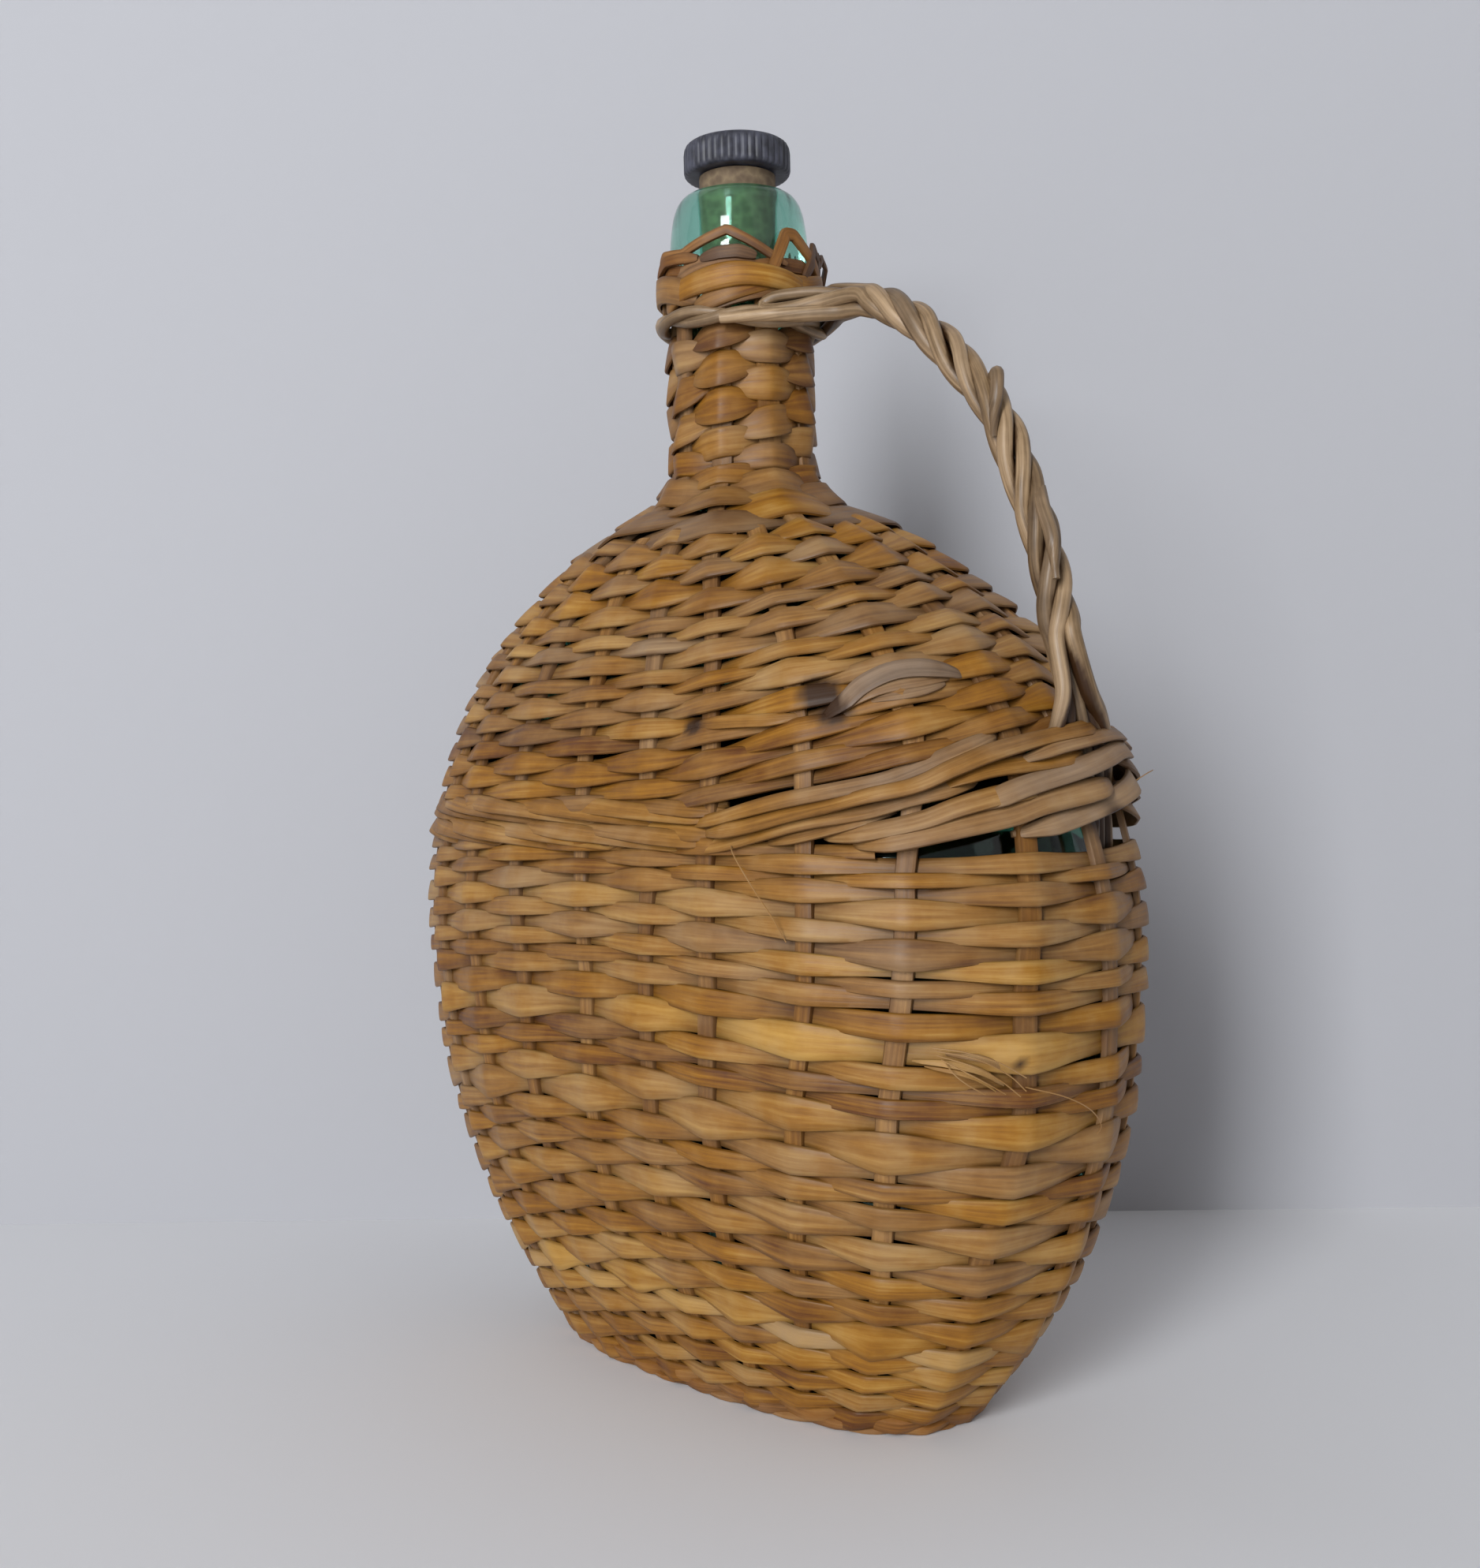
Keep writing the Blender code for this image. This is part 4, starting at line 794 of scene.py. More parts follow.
class FlaskSizes(bpy.types.PropertyGroup):
    """Sizes of the woven cover, the handle and the stopper."""

    weaver_thickness: length("Weaver thickness", "Thickness of a split rod that runs round", 1.0)
    weaver_in: length("Weaver inside", "Distance from the glass where a weaver passes behind a stake", 2.1)
    weaver_out: length("Weaver outside", "Distance from the glass where a weaver passes over a stake", 5.5)
    tuck_overlap: length("Tuck overlap", "How far a tucked weaver reaches under the rows beside it", 0.9)
    row_overlap: length("Row overlap", "How far two rows overlap halfway between two stakes", 0.25)
    crown_spread: bpy.props.FloatProperty(
        name="Crown spread", description="How much wider a weaver lies where it crosses over a stake",
        default=0.12, min=0.0, subtype="FACTOR")
    stake_width: length("Stake width", "Width of a stake on the body", 5.2)
    stake_thickness: length("Stake thickness", "Thickness of a stake", 1.6)
    stake_in: length("Stake inside", "Distance from the glass to the back of a stake", 3.2)
    rod_radius: length("Rod radius", "Radius of one rod of the handle", 2.2)
    twist_radius: length("Twist radius", "Distance of a rod from the handle's middle line", 2.95)
    ring_radius: length("Ring radius", "Middle radius of the ring round the neck", 22.4)
    ring_strand: length("Ring strand", "Radius of one strand of the ring", 1.65)
    cap_radius: length("Cap radius", "Outer radius of the fluted cap", 15.5)
    flute_depth: length("Flute depth", "Depth of the grooves on the cap", 0.4)
    cap_flutes: bpy.props.IntProperty(
        name="Flutes", description="Number of ribs round the cap", default=44, min=8)


class FlaskColours(bpy.types.PropertyGroup):
    """Colours of the finishes."""

    weaver_dark: colour("Weaver, dark", "Darkest tone of the weavers", "#5f350f")
    weaver: colour("Weaver", "Middle tone of the weavers", "#966418")
    weaver_light: colour("Weaver, light", "Palest tone of the weavers", "#bb8f44")
    weathered: colour("Weathered", "Grey of weathered willow", "#85705a")
    stake: colour("Stake", "Middle tone of the stakes", "#7f541f")
    rod: colour("Rod", "Middle tone of the handle's rods", "#7b6347")
    glass: colour("Glass", "Tint of the bottle", "#8fcbb8")
    cork: colour("Cork", "Middle tone of the cork", "#6d5b47")
    cap: colour("Cap", "Plastic of the cap", "#28282f")
    wall: colour("Wall", "Plain backdrop", "#b6b6ba")
    table: colour("Table", "Plain floor", "#e8e8ea")


# ---------------------------------------------------------------- the weave


def sag(height, turn):
    """Rise of a row towards the middle of a broad face, from its height at the measured place."""
    reach = np.interp(height / MM, *zip(*SAG_MM)) * MM
    return -reach * (np.cos(4 * math.pi * turn) - math.cos(4 * math.pi * FACE_PLACE_SHARE))


def handle_rise(height, turn):
    """How far the rows over the band climb towards the handle."""
    near = np.clip(1.0 - np.abs(turn - np.round(turn)) * GIRTH / CLIMB_REACH, 0.0, 1.0)
    near = near - 0.10 * np.clip(near - 0.85, 0.0, 1.0)
    fade = np.clip((CLIMB_TOP - height) / (CLIMB_TOP - BAND_TOP), 0.0, 1.0)
    return HANDLE_CLIMB * near * fade ** 0.8


def upper_rise(height, turn):
    """The same from its value where the upper rows were read."""
    return handle_rise(height, turn) - handle_rise(height, -UPPER_PLACE_SHARE)


def neck_rise(height, turn):
    """How far the lowest rows of the neck climb towards the handle."""
    near = np.clip(1.0 - np.abs(turn - np.round(turn)) / NECK_CLIMB_SHARE, 0.0, 1.0)
    return NECK_CLIMB * near * np.clip((NECK_CLIMB_TOP - height) / NECK_CLIMB_FADE, 0.0, 1.0)


def row_stations(table, lead, order):
    """Turn of each stake crossing along a spiral that passes the stakes in order."""
    places = np.arange(-1, math.ceil((len(table) - 1 + lead) * len(order)) + 3)
    turns = []
    for at in places:
        height = np.interp(at / len(order) - lead, np.arange(len(table)), table[:, 0]) * MM
        turns.append(float(stake_turn(order[at % len(order)], height)) + at // len(order))
    return places.astype(float), np.array(turns)


def weave_rows(names, nodes, rows, lead, order, rise, seed, rings=12, splits=(), roll=-0.30 * MM,
               lean=0.5 * MM, overlap=0.0, tilt=0.0, chord=0.45):
    """Weave one climbing spiral through a table of rows, as one piece between each two splits.

    rings are counted from stake to stake. A float may roll on its length, lean along it and tilt
    by chance; overlap widens it halfway between two stakes, and chord is how straight it runs.
    """
    sizes = bpy.context.scene.flask_sizes
    table, count = np.array(rows), len(order)
    stations = row_stations(table, lead, order)
    keys = np.arange(len(rows), dtype=float)

    def ahead(column, step):
        return np.interp(keys + step, keys, table[:, column])

    def of_row(at, values):
        """Values by row, read along the spiral."""
        return np.interp(at / count - lead, keys, values)

    def in_front(at):
        """Nought behind a stake and one in front of it."""
        return 0.5 + 0.5 * np.cos(math.pi * (at - 1.0))

    def offsets(at):
        wave = np.arcsin(0.95 * np.cos(math.pi * (at - 1.0))) / math.asin(0.95)
        return mix(sizes.weaver_in, sizes.weaver_out, 0.5 + 0.5 * wave)

    # Where a rod passes behind a stake it fills what the rows above and below it leave open
    room = ahead(0, 1) - ahead(0, -1)
    room[[0, -1]] *= 2.0
    tucked = np.clip(room - 0.5 * (ahead(1, 1) + ahead(1, -1)) + sizes.tuck_overlap / MM, 2.4, 9.0)
    rng = np.random.default_rng(seed)
    cuts = [0.0, *splits, float((len(rows) - 1 + lead) * count)]
    for piece, (start, stop) in enumerate(zip(cuts, cuts[1:])):
        bundle = Bundle()
        places = np.arange(start, stop + 0.5 / rings, 1.0 / rings)
        places[-1] = stop
        # A new rod begins every one and a half turns or so, tucked in behind a stake
        ends = [start]
        while ends[-1] < stop - count * 0.6:
            step = 2 * round(count * rng.uniform(0.55, 0.95))
            ends.append(min(stop, round(ends[-1]) + step))
        ends[-1] = stop
        for number, (low, high) in enumerate(zip(ends, ends[1:])):
            here = places[(places >= low - 1e-6) & (places <= high + 1e-6)]
            if len(here) < 3:
                continue
            rod_seed = seed + 97 * number + 1009 * piece
            rod_tone, rod_grey = rng.uniform(-0.12, 0.12), max(0.0, rng.normal(-0.12, 0.18))

            def toss(at, salt):
                """A value from -1 to 1 that is the same all along one float."""
                return np.sin(np.floor(at / 2.0) * 12.9898 + rod_seed + salt)

            def heights(at, turn):
                base = (of_row(at, table[:, 0]) + np.minimum(0.0, at / count - lead) * 1.6) * MM
                wobble = wander(at, 2.3, rod_seed, 0.35 * MM) * np.clip(base / (20 * MM), 0.0, 1.0)
                # Each float leans, and drops back where it is hidden behind a stake
                saw = np.mod(at, 2.0) - 1.0
                wobble = wobble + lean * (0.55 + 0.75 * toss(at, 5.0)) * saw * (1.0 - saw ** 6)
                return base + rise(base, turn) + wobble

            def halves(at):
                front = in_front(at)
                wide = of_row(at, table[:, 1]) * (1.0 + sizes.crown_spread) * MM
                wide = wide * (1.0 + 0.10 * toss(at, 0.0))
                halfway = of_row(at, room) * 0.5 * MM + sizes.row_overlap + overlap
                # Widest over a stake, as high as a row halfway to the next one, and pinched behind it
                width = wide * front * (2.0 * front - 1.0) + halfway * 4.0 * front * (1.0 - front)
                return 0.5 * (width + of_row(at, tucked) * MM * (1.0 - front) * (1.0 - 2.0 * front))

            def rolls(at):
                return roll + tilt * toss(at, 9.0) + wander(at, 1.9, rod_seed + 4, 0.22 * MM)

            tone = of_row(here, table[:, 2]) + rod_tone * 0.8 + 0.12 * toss(here, 2.0)
            tone = tone + wander(here, 3.1, rod_seed + 2, 0.12)
            grey = of_row(here, table[:, 3]) * 0.65 + rod_grey + wander(here, 2.7, rod_seed + 3, 0.2)
            # Painted shade where a float passes behind a stake, and along its edges
            stain = stained_and_shaded(tone, np.clip(grey, 0.0, 0.85), 0.45 * (1.0 - in_front(here)) ** 2.5, 0.80, 2.04)
            ribbon(bundle, here, stations, heights, halves, offsets, sizes.weaver_thickness, stain, rolls,
                   chord, rng.uniform(0.0, 3.0))
        bundle.finish(names[piece], surface("weaver"), "willow_weaver", nodes[piece])


class FLASK_OT_weave_body(bpy.types.Operator):
    """Weave the split rods of the body, below and above the handle's band."""

    bl_idname = "flask.weave_body"
    bl_label = "Weave the body"

    def execute(self, context):
        order = range(STAKE_COUNT)
        weave_rows(("weave_lower_1", "weave_lower_2"), (("weft_lower",), ("weft_middle",)), LOWER_ROWS,
                   LOWER_LEAD_TURNS, order, sag, seed=11, splits=(LOWER_SPLIT,))
        weave_rows(("weave_upper",), (("weft_upper", "weft_shoulder"),), UPPER_ROWS, UPPER_LEAD_TURNS,
                   order, upper_rise, seed=23, roll=-0.5 * MM, lean=0.9 * MM, overlap=0.8 * MM)
        return {"FINISHED"}


class FLASK_OT_weave_neck(bpy.types.Operator):
    """Weave the split rods of the shoulder and neck."""

    bl_idname = "flask.weave_neck"
    bl_label = "Weave the neck"

    def execute(self, context):
        weave_rows(("weave_neck",), (("weft_neck",),), NECK_ROWS, NECK_LEAD_TURNS, sorted(NECK_PLACES),
                   neck_rise, seed=31, rings=20, roll=-0.2 * MM, lean=2.0 * MM, overlap=2.4 * MM,
                   tilt=1.1 * MM, chord=0.15)
        return {"FINISHED"}


class FLASK_OT_set_stakes(bpy.types.Operator):
    """Set the flat stakes that the rods are woven through."""

    bl_idname = "flask.set_stakes"
    bl_label = "Set the stakes"

    def execute(self, context):
        sizes = context.scene.flask_sizes
        bundle = Bundle()
        gather = BODY_HEIGHT * STAKE_END_SHARE
        probe = 0.1 / STAKE_COUNT
        for index in range(STAKE_COUNT):
            heights = np.arange(3 * MM, COLLAR_BOTTOM if index in NECK_PLACES else gather, 2.5 * MM)
            turns = stake_turn(index, heights)
            # A stake takes up to 0.55 of its spacing, which is measured on the wall beside it
            span = wall_base(heights, turns + probe) - wall_base(heights, turns - probe)
            span = np.linalg.norm(span, axis=1)
            spacing = span / (2.0 * probe * np.where(heights > gather, NECK_STAKE_COUNT, STAKE_COUNT))
            width = sizes.stake_width * (1.0 + wander(heights, 0.04, 40 + index, 0.12))
            half = 0.5 * np.minimum(width, spacing * 0.55)
            across = ACROSS * (probe * half / (span * 0.5))[:, None]
            lift = sizes.stake_in + OUTWARD * sizes.stake_thickness + 0.0 * across
            points = wall(heights[:, None] + 0.0 * across, turns[:, None] + across, lift)
            rng = np.random.default_rng(500 + index)
            tone = 0.5 + rng.uniform(-0.12, 0.12) + wander(heights, 0.03, 90 + index, 0.12)
            grey = np.clip(0.15 + wander(heights, 0.05, 120 + index, 0.3), 0.0, 0.8)
            # Painted shade along a stake's edges, where the weavers tuck behind it
            bundle.add(points, heights + rng.uniform(0.0, 3.0), ACROSS * 2.6 * MM,
                       stained_and_shaded(tone, grey, 0.0, 0.6, 1.0))
        bundle.finish("stakes", surface("stake"), "willow_stake",
                      [f"stake_{i + 1:02d}" for i in range(STAKE_COUNT)])
        return {"FINISHED"}


class FLASK_OT_weave_foot(bpy.types.Operator):
    """Weave the thick border at the foot and finish the flat bottom."""

    bl_idname = "flask.weave_foot"
    bl_label = "Weave the foot"

    def execute(self, context):
        bundle = Bundle()
        rng = np.random.default_rng(61)
        posts = np.arange(-1, 2 * STAKE_COUNT + 3)
        stations = posts.astype(float), STAKE_PHASE / GIRTH + posts / (2.0 * STAKE_COUNT)
        places = np.arange(0.0, 2 * STAKE_COUNT + 1e-6, 1.0 / 8.0)
        # A braid of three layers: height and half width in mm
        for layer, (z, half) in enumerate(((2.3, 1.7), (6.0, 1.9), (4.2, 1.8))):

            def phase(at):
                return ROUND * (at / 3.0 + layer * 2.0 / 3.0)

            def heights(at, _):
                return (z + 0.35 * np.sin(phase(at))) * MM

            def halves(at):
                return half * MM * (0.95 + 0.10 * np.cos(phase(at)))

            def offsets(at):
                return (3.4 + 0.9 * np.cos(phase(at))) * MM

            # Painted shade where a layer of the braid dips inwards
            stain = stained_and_shaded(0.50 + wander(places, 2.9, 70 + layer, 0.25),
                            np.clip(wander(places, 4.1, 75 + layer, 0.4), 0.0, 0.6),
                            0.20 - 0.20 * np.cos(phase(places)))
            ribbon(bundle, places, stations, heights, halves, offsets, 1.9 * MM, stain,
                   lambda at: 0.0 * at, 0.3, rng.uniform(0.0, 2.0))
        bundle.finish("foot_braid", surface("border"), "willow_border", ["foot_border"])
        self.weave_base()
        return {"FINISHED"}

    def weave_base(self):
        """Weave flat strips across and along under the glass."""
        bundle = Bundle()
        long, broad, pitch, half = 63.5 * MM, 22.5 * MM, 8.8 * MM, 3.9 * MM
        for parity, count, span, limit in ((0, 5, long, broad), (1, 14, broad, long)):
            for index in range(count):
                place = (index - (count - 1) / 2.0) * pitch
                left = 1.0 - min(1.0, abs(place) / limit) ** SECTION_POWER
                reach = span * left ** (1.0 / SECTION_POWER)
                run = np.linspace(-reach, reach, max(6, int(reach * 2 / (1.4 * MM))))
                shift = 0.0 if parity else 0.5 * pitch
                wave = np.cos(math.pi * ((run + shift) / pitch + index + parity))
                sideways = ACROSS * half + 0.0 * run[:, None] + place
                down = (1.9 * MM - 0.75 * MM * wave)[:, None] - (OUTWARD - 0.5) * 0.9 * MM
                lanes = [run[:, None] + 0.0 * sideways, sideways]
                points = np.stack([*(lanes[::-1] if parity else lanes), down], axis=-1)
                seed = index + 20 * parity
                stain = stained_and_shaded(0.45 + wander(run, 0.03, 640 + seed, 0.2),
                                np.clip(0.2 + wander(run, 0.04, 680 + seed, 0.3), 0.0, 0.7),
                                0.15 * (1.0 + wave))
                bundle.add(points, run + 0.2 * index, ACROSS * half, stain)
        bundle.finish("woven_base", surface("stake"), "willow_stake", ["base_weave"])


# ---------------------------------------------------------------- band, handle, ring and border


class FLASK_OT_bind_band(bpy.types.Operator):
    """Bind the band of strands that fans out from the handle's foot."""

    bl_idname = "flask.bind_band"
    bl_label = "Bind the band"

    def execute(self, context):
        bundle = Bundle()
        rng = np.random.default_rng(81)
        for number, (route, width, lift, grey, tone) in enumerate(BAND_ROUTES + LOOSE_ROUTES):
            line = smooth_line(route, 2.0)
            turns, heights = line[:, 0] / WEAVE_GIRTH_MM, line[:, 1] * MM
            look = width * MM, lift * MM, grey, tone, rng
            loose = number >= len(BAND_ROUTES)
            self.strand(bundle, turns, heights, *look, number, loose)
            # On the far side the same strands start from behind the handle's outer rods
            far = line[:, 0] < 6.0
            if not loose and far.sum() > 8:
                turns = (26.0 - line[far, 0]) / WEAVE_GIRTH_MM
                self.strand(bundle, turns, heights[far], *look, number + 40)
        # The far part of the band is a wale: floats of three stakes that climb and dive in turn
        for layer in range(2):
            for number in range(3):
                turns = np.arange(*WALE_TURNS, -2.0 * MM / GIRTH)
                saw = (turns * STAKE_COUNT / 3.0 + number / 3.0 + 0.45 * layer) % 1.0
                dive = smoothstep((saw - WALE_DIVE_SHARE) / (1.0 - WALE_DIVE_SHARE))
                heights = (WALE_HEIGHT_MM + WALE_LAYER_MM * layer + WALE_DROP_MM * (0.5 - saw + dive)) * MM
                lift = (2.4 * np.sin(math.pi * np.clip(saw / WALE_DIVE_SHARE, 0.0, 1.0)) ** 0.7 - 1.4) * MM
                self.strand(bundle, turns, heights, 5.0 * MM, lift, 0.12, 0.45, rng, 80 + number + 3 * layer)
        for route in FIBRES_MM:
            line = smooth_line(route, 1.0)
            centres = wall(line[:, 1] * MM, line[:, 0] / WEAVE_GIRTH_MM, line[:, 2] * MM)
            tube(bundle, centres, 0.16 * MM, (0.8, 0.3, 0.0), sides=5)
        bundle.finish("handle_band", surface("band"), "willow_band",
                      [f"band_strand_{i + 1}" for i in range(4)])
        return {"FINISHED"}

    def strand(self, bundle, turns, heights, width, lift, grey, tone, rng, number, loose=False):
        """Lay one strand over the stakes and over the feet of the handle's rods."""
        run = np.concatenate([[0.0], np.cumsum(np.abs(np.diff(turns)) * GIRTH)])
        taper = np.minimum(1.0, np.minimum(run, run[-1] - run) / (9 * MM)) ** 0.6
        half = 0.44 * width * (0.30 + 0.70 * taper) * (1.0 + wander(run, 0.02, 800 + number, 0.12))
        slope = np.gradient(heights) / np.maximum(1e-9, np.abs(np.gradient(turns)) * GIRTH)
        half = half * np.minimum(2.0, np.sqrt(1.0 + slope ** 2))
        # A loose strip is thin and flat; its ends sink less, and its edges get less painted shade
        sink, thickness, roll, edge_shade = (2.2, 0.55, 0.3, 1.2) if loose else (4.0, 1.0, 0.9, 2.8)
        offset = 4.8 * MM + lift - (1.0 - taper) * sink * MM + wander(run, 0.022, 840 + number, 0.5 * MM)
        places = turns * WEAVE_GIRTH_MM
        over_rods = np.exp(-((places - FOOT_MIDDLE_MM) / FOOT_REACH_MM) ** 4)
        offset = offset + np.interp(heights / MM, FOOT_HEIGHTS_MM, (0.0, FOOT_LIFT_MM)) * MM * over_rods
        # A strand further out than its route was measured stands no higher
        heights = heights - (offset - ROUTE_OFFSET) * wall_normal(heights, turns)[:, 2]
        across = ACROSS * half[:, None]
        outward = offset[:, None] + OUTWARD * thickness * MM - ACROSS * (roll * MM * taper)[:, None]
        points = wall(heights[:, None] + across, turns[:, None] + 0.0 * across, outward)
        lengths = run_along(points[:, SECTION_MIDDLE])
        tones = tone + rng.uniform(-0.1, 0.1) + wander(lengths, 0.03, 830 + number, 0.18)
        greys = grey * 0.85 * np.interp(places, (-90, -50), (0.25, 1.0))
        greys = np.clip(greys + wander(lengths, 0.04, 860 + number, 0.22), 0.0, 0.95)
        # Painted shade at a strand's ends, where it sinks towards the wall, and along its edges
        bundle.add(points, lengths + rng.uniform(0.0, 3.0), ACROSS * 2.4 * MM,
                   stained_and_shaded(tones, greys, 0.25 * (1.0 - taper), 0.8, edge_shade))


class FLASK_OT_twist_handle(bpy.types.Operator):
    """Twist the handle's rods and the ring that holds them to the neck."""

    bl_idname = "flask.twist_handle"
    bl_label = "Twist the handle"

    def execute(self, context):
        sizes = context.scene.flask_sizes
        step = 1.2 * MM
        line = smooth_line(np.array(HANDLE_LINE_MM) * MM, step)
        distance = run_along(line)
        share = distance / distance[-1]
        along = unit(np.gradient(line, axis=0))
        outward = np.stack([-along[:, 1], 0.0 * share, along[:, 0]], axis=-1)
        middle = np.stack([line[:, 0], 0.0 * share, line[:, 1]], axis=-1)
        pitch = mix(*PITCHES, smoothstep(share * 2.0))
        twist = np.concatenate([[0.0], np.cumsum(ROUND * np.diff(distance) / pitch[1:])])
        # Half a turn more between the neck and the foot
        twist = twist + math.pi * np.clip((share - TWIST_SHARES[0]) / 0.67, 0.0, 1.1)
        reach = (sizes.twist_radius * mix(0.80, 1.0, smoothstep((share - 0.08) / 0.25)))[:, None]
        twisted = (share > TWIST_SHARES[0]) & (share < TWIST_SHARES[1])
        bundle = Bundle()
        for rod, (head, tail) in enumerate(zip(ROD_HEADS_MM, ROD_TAILS_MM)):
            angle = (ROUND * (rod / 4.0 + 0.125) + twist + wander(distance, 0.03, 905 + rod, 0.22))[:, None]
            centres = middle + (outward * np.cos(angle) - (0.0, 1.0, 0.0) * np.sin(angle)) * reach
            centres = np.vstack([np.array(head) * MM, centres[twisted][::4], np.array(tail) * MM])
            centres = smooth_line(centres, step)
            run = np.linspace(0.0, len(centres) * step, len(centres))
            taper = np.interp(run, (0.0, 40 * MM, run[-1] - 24 * MM, run[-1]), (0.80, 1.0, 1.0, 0.62))
            radii = 1.0 + 0.06 * math.sin(rod * 1.9) + wander(run, 0.025, 900 + rod, 0.14)
            radii = radii * sizes.rod_radius * taper
            stain = stained_and_shaded(0.55 + 0.16 * math.sin(rod * 2.4) + wander(run, 0.03, 910 + rod, 0.32),
                            np.clip(0.15 + wander(run, 0.05, 920 + rod, 0.3), 0.0, 0.6), 0.0)
            # Each rod gets painted shade on the side that faces the handle's middle line
            tube(bundle, centres, radii, stain, sides=16, shift=0.7 * rod, inner=middle)
        for route, radius in ROD_STUBS_MM:
            centres = smooth_line(np.array(route) * MM, 1.0 * MM)
            radii = radius * MM * np.clip(2.0 - 1.6 * np.linspace(0.0, 1.0, len(centres)), 0.5, 1.0)
            tube(bundle, centres, radii, (0.45, 0.3, 0.15), shift=2.0)
        bundle.finish("handle_rods", surface("rod"), "willow_rod", [f"handle_rod_{i + 1}" for i in range(4)])
        bundle = Bundle()
        angles = np.linspace(0.0, ROUND, 181)
        for strand in range(2):
            twist = 3.5 * angles + math.pi * strand
            height = RING_HEIGHT - RING_DIP * np.cos(angles) + RING_LAY * np.sin(twist)
            centres = around(angles, sizes.ring_radius + RING_LAY * np.cos(twist), height)
            stain = stained_and_shaded(0.55 + wander(angles, 0.7, 940 + strand, 0.2), 0.1, 0.0)
            tube(bundle, centres, sizes.ring_strand, stain, shift=1.3 * strand, side=around(angles))
        bundle.finish("neck_ring", surface("rod"), "willow_rod", ["neck_ring_1", "neck_ring_2"])
        return {"FINISHED"}


class FLASK_OT_fold_border(bpy.types.Operator):
    """Wrap the top of the neck and fold the stake ends round the collar."""

    bl_idname = "flask.fold_border"
    bl_label = "Fold the neck's border"

    def execute(self, context):
        for name, routes, finish, slot, node in (
            ("collar_wrap", WRAP_ROUTES, "weaver", "willow_weaver", "weft_collar"),
            ("neck_zigzag", COLLAR_ROUTES, "border", "willow_border", "neck_border"),
        ):
            bundle = Bundle()
            for number, (route, width, tone, grey) in enumerate(routes):
                # A wide strip bends softly, and a thin one is folded
                bend = smooth_line if width > 4.5 else folded_line
                line = bend(np.array(route) * (COLLAR_REACH * math.pi / 180.0, 1.0, 1.0), 0.6)
                self.strip(bundle, line[:, 0] / COLLAR_REACH, line[:, 1] * MM, line[:, 2] * MM, width * MM,
                           tone, grey, 300 + 20 * len(routes) + number)
            bundle.finish(name, surface(finish), slot, [node])
        return {"FINISHED"}

    def strip(self, bundle, angle, height, reach, width, tone, grey, seed):
        """Bend one flat strip round the neck's axis, its broad side outwards."""
        radial = around(angle)
        centres = around(angle, reach, height)
        wide = unit(np.cross(radial, unit(np.gradient(centres, axis=0))))
        wide *= np.sign(wide[:, 2:3])
        run = run_along(centres)
        taper = np.minimum(1.0, np.minimum(run, run[-1] - run) / (4 * MM)) ** 0.5
        half = 0.5 * width * (0.45 + 0.55 * taper) * (1.0 + wander(run, 0.012, seed, 0.12))
        points = centres[:, None] + wide[:, None] * (ACROSS * half[:, None])[:, :, None]
        points = points + radial[:, None] * (OUTWARD * 1.1 * MM)[:, :, None]
        points[:, -1] = points[:, 0]
        # Painted shade at a strip's tapered ends and along its edges
        stain = stained_and_shaded(tone + wander(run, 0.015, seed + 1, 0.2),
                        np.clip(grey + wander(run, 0.02, seed + 2, 0.2), 0.0, 0.9),
                        0.3 * (1.0 - taper), 0.7, 1.4)
        bundle.add(points, run + 0.1 * (seed % 13), ACROSS * half[:, None], stain)


# ---------------------------------------------------------------- glass and stopper


class FLASK_OT_blow_glass(bpy.types.Operator):
    """Blow the bottle: a smooth flattened body, a round neck and a thick collar."""

    bl_idname = "flask.blow_glass"
    bl_label = "Blow the bottle"

    def execute(self, context):
        turns = np.linspace(0.0, 1.0, 97)

        def level(height, inset=0.0, lift=0.0):
            """A ring of the wall drawn in towards the axis and lifted."""
            ring = wall_base(height + 0.0 * turns, turns)
            ring[:, :2] *= 1.0 - inset / np.linalg.norm(ring[:, :2], axis=1, keepdims=True)
            ring[:, 2] = height + lift
            return ring

        # Outside: the punt, the heel, the body and neck, and the collar with its lip and bore
        rings = [level(BOTTLE_BOTTOM, 24 * MM, 3 * MM), level(BOTTLE_BOTTOM, HEEL_RADIUS)]
        for part in np.arange(1, 5) * math.pi / 10.0:
            rings.append(level(BOTTLE_BOTTOM + HEEL_RADIUS, HEEL_RADIUS * (1.0 - math.sin(part)),
                               -HEEL_RADIUS * math.cos(part)))
        for z in np.concatenate([np.linspace(17, 240, 36), np.linspace(243, 296, 22)]):
            rings.append(level(z * MM))
        for radius, z in smooth_line(np.array(COLLAR_LINE_MM) * MM, 0.6 * MM):
            rings.append(around(ROUND * turns, radius, z))
        # Inside: down the neck and body to the floor
        for z in np.concatenate([np.linspace(296, 243, 12), np.linspace(236, 18, 20)]):
            rings.append(wall(z * MM, turns, -GLASS_WALL))
        for inset, lift in ((11, -1.5), (20, -2.0)):
            rings.append(level(BOTTLE_BOTTOM + 8 * MM, inset * MM, lift * MM))
        points = np.array(rings)
        points[:, -1] = points[:, 0]
        bundle = Bundle()
        bundle.add(points, np.arange(len(rings)) * MM, turns[None, :], (0.5, 0.0, 0.0))
        bundle.finish("blown_bottle", surface("glass"), "bottle_glass", ["glass_bottle"], sharp=80.0)
        return {"FINISHED"}


def turned(profile, steps):
    """Turn a profile of radius and height in mm once round the neck's axis."""
    bm = bmesh.new()
    corners = [bm.verts.new((radius * MM, 0.0, z * MM)) for radius, z in profile]
    edges = [bm.edges.new(pair) for pair in zip(corners, corners[1:])]
    bmesh.ops.spin(bm, geom=corners + edges, cent=(0, 0, 0), axis=(0, 0, 1), angle=ROUND, steps=steps,
                   use_merge=True)
    bmesh.ops.remove_doubles(bm, verts=bm.verts, dist=0.001 * MM)
    return bm


